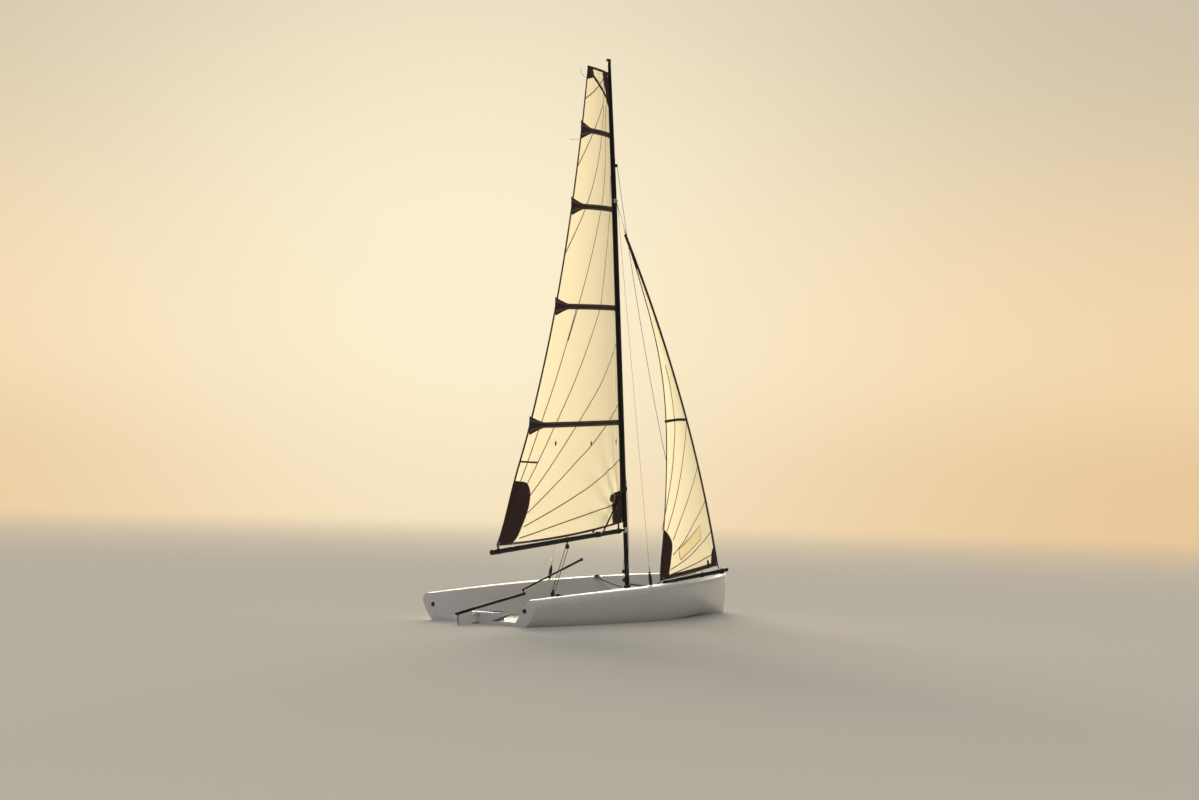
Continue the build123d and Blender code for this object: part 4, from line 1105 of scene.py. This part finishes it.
# %% Batten boxes and corner rings
BOX_LONG, BOX_TALL, BOX_THICK, BOX_GAP = 0.062, 0.066, 0.015, 0.002
RIB_LONG, RIB_TALL, RIB_OFF, RIB_AFT, RIB_PROUD = 0.040, 0.008, 0.014, 0.004, 0.004
MAIN_RINGS, MAIN_RING_WIRE = [
    # along the chord, height, radius
    (2.512, 0.768, 0.013), (0.034, 0.778, 0.012), (0.050, 5.750, 0.012), (0.293, 1.048, 0.049),
], 0.0032
JIB_RINGS, JIB_RING_WIRE = [(1.236, 0.530, 0.011), (0.030, 0.088, 0.010)], 0.0028


def sail_frame(surface, s, v):
    """A frame on a sail: X aft along the chord, Y up, Z out of the cloth."""
    step = 0.004
    aft = (surface(s + step, v) - surface(s - step, v)).normalized()
    up = surface(s, v + step) - surface(s, v - step)
    out = aft.cross(up).normalized()
    return shifted(surface(s, v)) @ Matrix((aft, out.cross(aft), out)).transposed().to_4x4()


def make_batten_boxes():
    bm = bmesh.new()
    for luff_v, _ in MAIN_BATTENS:
        spot = sail_frame(main_point, LUFF_STEP + BOX_LONG / 2 + BOX_GAP, luff_v)
        slab(bm, spot, rounded(BOX_LONG, BOX_TALL, 0.010), BOX_THICK, 0.003)
        for side in (1, -1):
            rib = spot @ shifted((RIB_AFT, side * RIB_OFF, 0))
            slab(bm, rib, rounded(RIB_LONG, RIB_TALL, 0.0035), BOX_THICK + RIB_PROUD, 0.001)
    moulded_piece("main_batten_boxes", bm, "boom")


def make_rings(name, surface, rings, wire, body):
    bm = bmesh.new()
    for s, v, size in rings:
        lathe(bm, sail_frame(surface, s, v), ring_profile(size, wire), 24)
    finish_piece(name, bm, "stainless", body)


make_batten_boxes()
make_rings("main_corner_rings", main_point, MAIN_RINGS, MAIN_RING_WIRE, "boom")
make_rings("jib_corner_rings", jib_point, JIB_RINGS, JIB_RING_WIRE, "jib")

# %% [markdown]
# ## Running rigging
# Taut ropes are swept tubes with a braided finish. Slack ones are real curves with a bevel and a few
# control points, because their length is declared and is then simply that of the curve. The telltales are
# light yarns that show how the air leaves the sail, so they stream from its leech.

# %% Free cords and telltales
TELLTALE_R = 0.0018
TELLTALES = {
    # name: height on the leech, then the yarn's points beyond the leech and above its root
    "leech_telltale_top": (5.681, [(-0.010, 0.0), (0.060, 0.0), (0.150, 0.020), (0.213, 0.087)]),
    "leech_telltale_low": (4.990, [(-0.010, 0.0), (0.080, 0.006), (0.190, -0.014), (0.290, -0.010)]),
}


def free_cord(name, points, radius, body, **facts):
    """A slack rope or yarn: a smooth curve through few points, whose real length is printed."""
    data = bpy.data.curves.new(name, "CURVE")
    data.dimensions = "3D"
    data.bevel_depth = radius
    data.bevel_resolution = 2
    data.resolution_u = 24
    data.use_fill_caps = True
    line = data.splines.new("NURBS")
    line.points.add(len(points) - 1)
    for point, place in zip(line.points, points):
        point.co = (*place, 1)
    line.order_u = 3
    line.use_endpoint_u = True
    data.materials.append(materials["rope"])
    cord = put_in_scene(name, data)
    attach(cord, body)
    tuple(points[0])
    print(name, round(line.calc_length(), 3), "m")


def make_telltales():
    for name, (v, steps) in TELLTALES.items():
        edge = main_chord(v)
        points = [main_point(edge + beyond, v + rise) for beyond, rise in steps]
        free_cord(name, points, TELLTALE_R, "boom", far_end="bare", lay="loose")


make_telltales()

# %% [markdown]
# ### The mainsheet
# The mainsheet crosses from the swivel in the cockpit to the block under the boom. On either body it
# would tear off at the other end, so it rides on neither and stays where it is drawn.
# Its end comes out through a cleat with two cams, which bite the rope.

# %% Mainsheet
SHEET_R = 0.0038
SWIVEL_SHEAVE, SWIVEL_WRAP = Vector((1.190, 0, 0.282)), 0.0227
BOOM_SHEAVE, BOOM_WRAP = boom_frame @ Vector((-1.180, 0, 0.5976)), 0.0246
CLEAT_AHEAD = 0.088
SHEET_END = [(0.122, 0, -0.010), (CLEAT_AHEAD, 0, -0.013), (0.045, 0, -0.019)]
SHEET_KNOT = [(0.0, -0.010), (0.008, -0.007), (0.0105, 0.0), (0.008, 0.007), (0.0, 0.010)]


def tube(bm, points, radius, sides, step=None):
    """A round tube along points in space, with closed ends. radius is one value or one at each point."""
    route = Route(points, radius)
    count = len(points) - 1 if step is None else max(round(route.length / step), 1)

    def place(t, k):
        centre, way, wide = route.at(k)
        upright = abs(way.z) > 0.999
        side = way.orthogonal().normalized() if upright else way.cross(Vector((0, 0, 1))).normalized()
        angle = 2 * pi * t
        return centre + (side * cos(angle) + side.cross(way) * sin(angle)) * wide

    def flat(t, k):
        return t * 2 * pi * route.values[0], k * route.length

    lay_grid(bm, sides, count, place, flat)
    bmesh.ops.remove_doubles(bm, verts=bm.verts, dist=WELD)
    bmesh.ops.holes_fill(bm, edges=bm.edges, sides=sides)


def around(centre, ahead, up, radius, start, end, steps):
    """Points of a turn round a sheave. Angles run from ahead to up."""
    return [centre + ahead * (radius * cos(a)) + up * (radius * sin(a)) for a in even(start, end, steps)]


def make_mainsheet():
    low = SWIVEL_SHEAVE
    way = (BOOM_SHEAVE - low).normalized()
    ahead = Vector((1, 0, 0))
    ahead = (ahead - way * ahead.dot(way)).normalized()
    path = [low + Vector(place) for place in SHEET_END]
    path += around(low, ahead, way, SWIVEL_WRAP, -pi / 2, -pi, 6)
    path += around(BOOM_SHEAVE, ahead, way, BOOM_WRAP, pi, 0, 12)
    path += [low + ahead * 0.020 + way * 0.060, low + ahead * 0.006 + way * 0.040]
    bm = bmesh.new()
    tube(bm, path, SHEET_R, 8, 0.02)
    for knot in (path[0], path[-1]):
        lathe(bm, shifted(knot), SHEET_KNOT, 12)
    sheet = finish_piece("mainsheet", bm, "rope", None)
    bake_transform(sheet)
    print("mainsheet", round((BOOM_SHEAVE - low).length, 2), "m between its blocks")


def make_cam_cleat():
    bm = bmesh.new()
    slab(bm, shifted(SWIVEL_SHEAVE + Vector((0.062, 0, -0.022))), rounded(0.130, 0.024, 0.010), 0.004, 0.001)
    for side in PORT_AND_STARBOARD:
        cam = shifted(SWIVEL_SHEAVE + Vector((CLEAT_AHEAD, side * 0.0115, -0.011)))
        slab(bm, cam, oval(0.014, 0.007), 0.018, 0.002)
    slab(bm, shifted(SWIVEL_SHEAVE + Vector((CLEAT_AHEAD, 0, 0))), rounded(0.034, 0.040, 0.010), 0.003, 0.001)
    head = shifted(SWIVEL_SHEAVE + Vector((0, 0, 0.032))) @ turned(pi / 2, "X")
    slab(bm, head, oval(0.010, 0.014), 0.010, 0.002)
    moulded_piece("mainsheet_cam_cleat", bm, "hull")


make_mainsheet()
make_cam_cleat()

# %% [markdown]
# ### The slack halyard
# The halyard of the big downwind sail hangs slack from its block on the mast to an eye on the port side
# of the foredeck. A slack rope is a parabola near enough, and a curve with three control points draws
# just that.

# %% Slack halyard
MAST_AHEAD = 0.038
mast_frame = (shifted(joints["boom_swing"]["pos_m"]) @ turned(-RAKE, "Y")
              @ shifted((MAST_AHEAD, 0, -GOOSENECK)))
HALYARD_R, HALYARD_SLACK = 0.0028, 0.42
HALYARD_SHEAVE, HALYARD_EYE = mast_frame @ Vector((0.0518, 0, 4.760)), Vector((3.97, 0.185, 0.462))
HALYARD_KNOT = [(0.0, -0.007), (0.005, -0.006), (0.0075, 0.0), (0.005, 0.006), (0.0, 0.007)]


def make_halyard():
    start = HALYARD_SHEAVE + Vector((0.017, 0, -0.004))
    end = HALYARD_EYE + Vector((0, 0, 0.040))
    belly = (start + end) / 2 - Vector((0, 0, 2 * HALYARD_SLACK))
    free_cord("gennaker_halyard", [start, belly, end], HALYARD_R, "hull", far_end="object", lay="hanging")
    bm = bmesh.new()
    foot = shifted(HALYARD_EYE)
    slab(bm, foot @ shifted((0, 0, 0.003)), rounded(0.054, 0.028, 0.010), 0.010, 0.002)
    lathe(bm, foot @ shifted((0, 0, 0.016)) @ turned(pi / 2, "X"), ring_profile(0.012, 0.003), 20)
    moulded_piece("halyard_pad_eye", bm, "hull")
    bm = bmesh.new()
    lathe(bm, shifted(end - Vector((0, 0, 0.012))) @ turned(pi / 2, "Y"), ring_profile(0.010, 0.0022), 20)
    lathe(bm, shifted(end), HALYARD_KNOT, 12)
    finish_piece("halyard_shackle", bm, "stainless", "hull")


make_halyard()

# %% [markdown]
# ### Lines at the mast
# The halyards leave the mast at its front, run down beside the gooseneck and end on the cleats at the
# foot. Two control lines lead from the mast's step out to each side tank, where cleats hold them. Each
# line is drawn once, as a few points, and made again on the other hand with its side turned over.

# %% Mast lines
TAIL_RUN = [
    # ahead of the mast's axis, to the side, up the mast from its foot
    (0.020, 0.012, 1.235), (0.0275, 0.016, 1.20), (0.0200, 0.0265, 1.12), (0.0190, 0.0275, 0.66),
    (0.0080, 0.0305, 0.42),
]
TAIL_AT_CLEAT = [
    # the same, but up from the cleat
    (-0.026, 0.020, 0.075), (-0.066, 0.004, 0.018), (-0.072, 0, -0.010),
]
CLEAT_HEIGHTS = (0.190, 0.095)
CONTROL_RUN = [
    # forward, to the side, up
    (2.48, 0.160, 0.345), (2.56, 0.360, 0.372), (2.62, 0.520, 0.404),
]
CONTROL_LEADS = (0.0, 0.020)
TAIL_R, CONTROL_R = 0.0026, 0.0032
TANK_CLEAT, TANK_CLEAT_TURN = (2.615, 0.560, 0.4235), radians(70)


def on_mast(ahead, side, height):
    return mast_frame @ Vector((ahead, side, height))


def make_mast_lines():
    bm = bmesh.new()
    for hand, cleat in zip(PORT_AND_STARBOARD, CLEAT_HEIGHTS):
        path = [on_mast(ahead, hand * side, height) for ahead, side, height in TAIL_RUN]
        path += [on_mast(ahead, hand * side, cleat + rise) for ahead, side, rise in TAIL_AT_CLEAT]
        tube(bm, smooth_path(path, 5), TAIL_R, 6)
    finish_piece("halyard_tails", bm, "pale rope", "hull")
    bm = bmesh.new()
    for hand in PORT_AND_STARBOARD:
        for lead in CONTROL_LEADS:
            path = [on_mast(-0.030 - lead, hand * 0.045, 0.004)]
            path += [Vector((x - lead, hand * y, z)) for x, y, z in CONTROL_RUN]
            tube(bm, smooth_path(path, 6), CONTROL_R, 6)
    finish_piece("control_lines", bm, "rope", "hull")


def make_tank_cleats():
    bm = bmesh.new()
    x, y, z = TANK_CLEAT
    for hand in PORT_AND_STARBOARD:
        plate = shifted((x, hand * y, z)) @ turned(hand * TANK_CLEAT_TURN, "Z")
        slab(bm, plate, rounded(0.080, 0.064, 0.012), 0.008, 0.002)
        for lead in (-0.014, 0.014):
            for half in (-0.008, 0.008):
                cam = plate @ shifted((0, lead + half, 0.012))
                slab(bm, cam, oval(0.013, 0.006), 0.014, 0.002)
    moulded_piece("side_tank_cleats", bm, "hull")


make_mast_lines()
make_tank_cleats()

# %% [markdown]
# ### Wire ends and small metalwork
# Each wire is pressed into a terminal, thicker than the wire and tapered at its mouth, and a sleeve
# covers each shroud's adjuster. They are tubes with a radius at each of a few distances along the wire. A
# ring at the stem takes the tack, and plates on the mast's front show where the halyards come out.

# %% Shroud ends
HOUNDS_V, HOUNDS_OUT = 4.3575, 0.038
CHAINPLATE, ADJUSTER_TOP = (1.975, 0.735, 0.391), 0.146
# distance along the wire, radius
LOW_TERMINAL = [(-0.012, 0.0050), (-0.006, 0.0052), (0.080, 0.0046), (0.092, 0.0024)]
TOP_TERMINAL = [(0.012, 0.0044), (0.018, 0.0050), (0.060, 0.0044), (0.070, 0.0024)]
COVER = [(0.016, 0.0165), (0.022, 0.0185), (0.150, 0.0175), (0.162, 0.0080)]
PIN_SPOTS = (0.026, 0.105)
PIN = [
    # radius, height: a head, the pin and the other head
    (0.0, -0.010), (0.0055, -0.010), (0.0055, -0.0075), (0.003, -0.007), (0.003, 0.007), (0.0055, 0.0075),
    (0.0055, 0.010), (0.0, 0.010),
]


def facing(point, normal):
    """A frame at a point whose local Z is the normal."""
    return shifted(point) @ Vector(normal).to_track_quat("Z", "Y").to_matrix().to_4x4()


def shroud_line(hand):
    """A shroud's lower end, its upper end and the way up between them."""
    low = Vector((CHAINPLATE[0], hand * CHAINPLATE[1], CHAINPLATE[2]))
    top = on_mast(0, hand * HOUNDS_OUT, HOUNDS_V)
    return low, top, (top - low).normalized()


def sleeve(bm, start, way, stations, sides):
    tube(bm, [start + way * far for far, _ in stations], [radius for _, radius in stations], sides)


def make_shroud_ends():
    bm = bmesh.new()
    for hand in PORT_AND_STARBOARD:
        low, top, way = shroud_line(hand)
        sleeve(bm, low + way * ADJUSTER_TOP, way, LOW_TERMINAL, 10)
        sleeve(bm, top, -way, TOP_TERMINAL, 10)
        for far in PIN_SPOTS:
            lathe(bm, facing(low + way * far, (0, 1, 0)), PIN, 14)
    finish_piece("shroud_terminals", bm, "stainless", "hull")
    bm = bmesh.new()
    for hand in PORT_AND_STARBOARD:
        low, _, way = shroud_line(hand)
        sleeve(bm, low, way, COVER, 16)
    finish_piece("adjuster_covers", bm, "black fitting", "hull")


make_shroud_ends()

# %% Bow ring and exit plates
BOW_RING, BOW_RING_SIZE, BOW_RING_WIRE = (4.272, 0, 0.500), 0.016, 0.0035
EXIT_PLATES = [
    # ahead of the mast's axis, up the mast, length
    (0.0205, 4.820, 0.056), (0.0255, 4.300, 0.050), (0.0258, 1.235, 0.080),
]


def make_metalwork():
    bm = bmesh.new()
    lathe(bm, shifted(BOW_RING) @ turned(pi / 2, "Y"), ring_profile(BOW_RING_SIZE, BOW_RING_WIRE), 26)
    finish_piece("bow_ring", bm, "stainless", "hull")
    bm = bmesh.new()
    for ahead, height, tall in EXIT_PLATES:
        plate = mast_frame @ shifted((ahead, 0, height)) @ turned(pi / 2, "Y")
        slab(bm, plate, rounded(tall, 0.022, 0.009), 0.008, 0.002)
    moulded_piece("halyard_exit_plates", bm, "hull")


make_metalwork()

# %% [markdown]
# ## Tiller and cockpit
# The tiller has a moulded cap and a whipping of cord, and its extension has a ribbed grip with a ball at
# its end. The ribs are a tube whose radius goes up and down by turns, which is simpler than cutting
# grooves.

# %% Tiller grips
TILLER_AFT, TILLER_FORE = Vector((-0.330, 0, 0.112)), Vector((0.735, 0, 0.298))
EXTENSION_RISE, EXTENSION_UP, EXTENSION_LONG = radians(18), 0.018, 1.0
GRIP_LONG, GRIP_R, RIB_HIGH, RIBS = 0.34, 0.0122, 0.0012, 44
BALL = [(0.0, -0.008), (0.013, -0.006), (0.019, 0.003), (0.017, 0.013), (0.009, 0.019), (0.0, 0.020)]
CAP = [(0.0152, -0.030), (0.0168, -0.028), (0.0168, -0.002), (0.012, 0.004), (0.0, 0.006)]
WHIPPING_AT, WHIPPING_STEP, WHIPPING_TURNS = 0.235, 0.016, 4


def make_grips():
    way = Vector((cos(EXTENSION_RISE), 0, sin(EXTENSION_RISE)))
    swing = joints["tiller_extension_swing"]
    end = Vector(swing["pos_m"]) + Vector(swing["axis"]) * EXTENSION_UP + way * EXTENSION_LONG
    steps = [end - way * (GRIP_LONG * (1 - index / RIBS)) for index in range(RIBS + 1)]
    bm = bmesh.new()
    tube(bm, steps, [GRIP_R + RIB_HIGH * (index % 2) for index in range(RIBS + 1)], 16)
    lathe(bm, facing(end, way), BALL, 20)
    finish_piece("extension_grip", bm, "black fitting", "tiller_extension")
    way = (TILLER_FORE - TILLER_AFT).normalized()
    bm = bmesh.new()
    lathe(bm, facing(TILLER_FORE, way), CAP, 24)
    for turn in range(WHIPPING_TURNS):
        ring = facing(TILLER_AFT + way * (WHIPPING_AT + WHIPPING_STEP * turn), way)
        lathe(bm, ring, ring_profile(0.0155, 0.0022, 8), 24)
    finish_piece("tiller_cap_and_whipping", bm, "black fitting", "rudder")


make_grips()

# %% [markdown]
# ### Strap tails
# Webbing tails hold the hiking straps down at the transom, each under a small anchor plate. Webbing is
# flat and bends one way only, so a tail is a grid laid along a curve in the boat's length.

# %% Strap tails
STRAP_OUT, STRAP_WIDE, STRAP_THICK = 0.230, 0.044, 0.003
STRAP_RUN = [
    (0.022, 0, 0.044), (0.10, 0, 0.058), (0.22, 0, 0.094), (0.36, 0, 0.106), (0.50, 0, 0.100),
    (0.62, 0, 0.101),
]


def make_strap_tails():
    route = Route(smooth_path(STRAP_RUN, 6))

    def tail(hand):
        return lambda t, k: route.at(k)[0] + Vector((0, hand * STRAP_OUT + (t - 0.5) * STRAP_WIDE, 0))

    bm = bmesh.new()
    for hand in PORT_AND_STARBOARD:
        lay_grid(bm, 4, 40, tail(hand), lambda t, k: (t * STRAP_WIDE, k * route.length))
    thicken(finish_piece("hiking_strap_tails", bm, "webbing", "hull"), STRAP_THICK)
    bm = bmesh.new()
    for hand in PORT_AND_STARBOARD:
        slab(bm, shifted((0.024, hand * STRAP_OUT, 0.046)), rounded(0.034, 0.060, 0.008), 0.005, 0.0015)
    moulded_piece("strap_anchors", bm, "hull")


make_strap_tails()
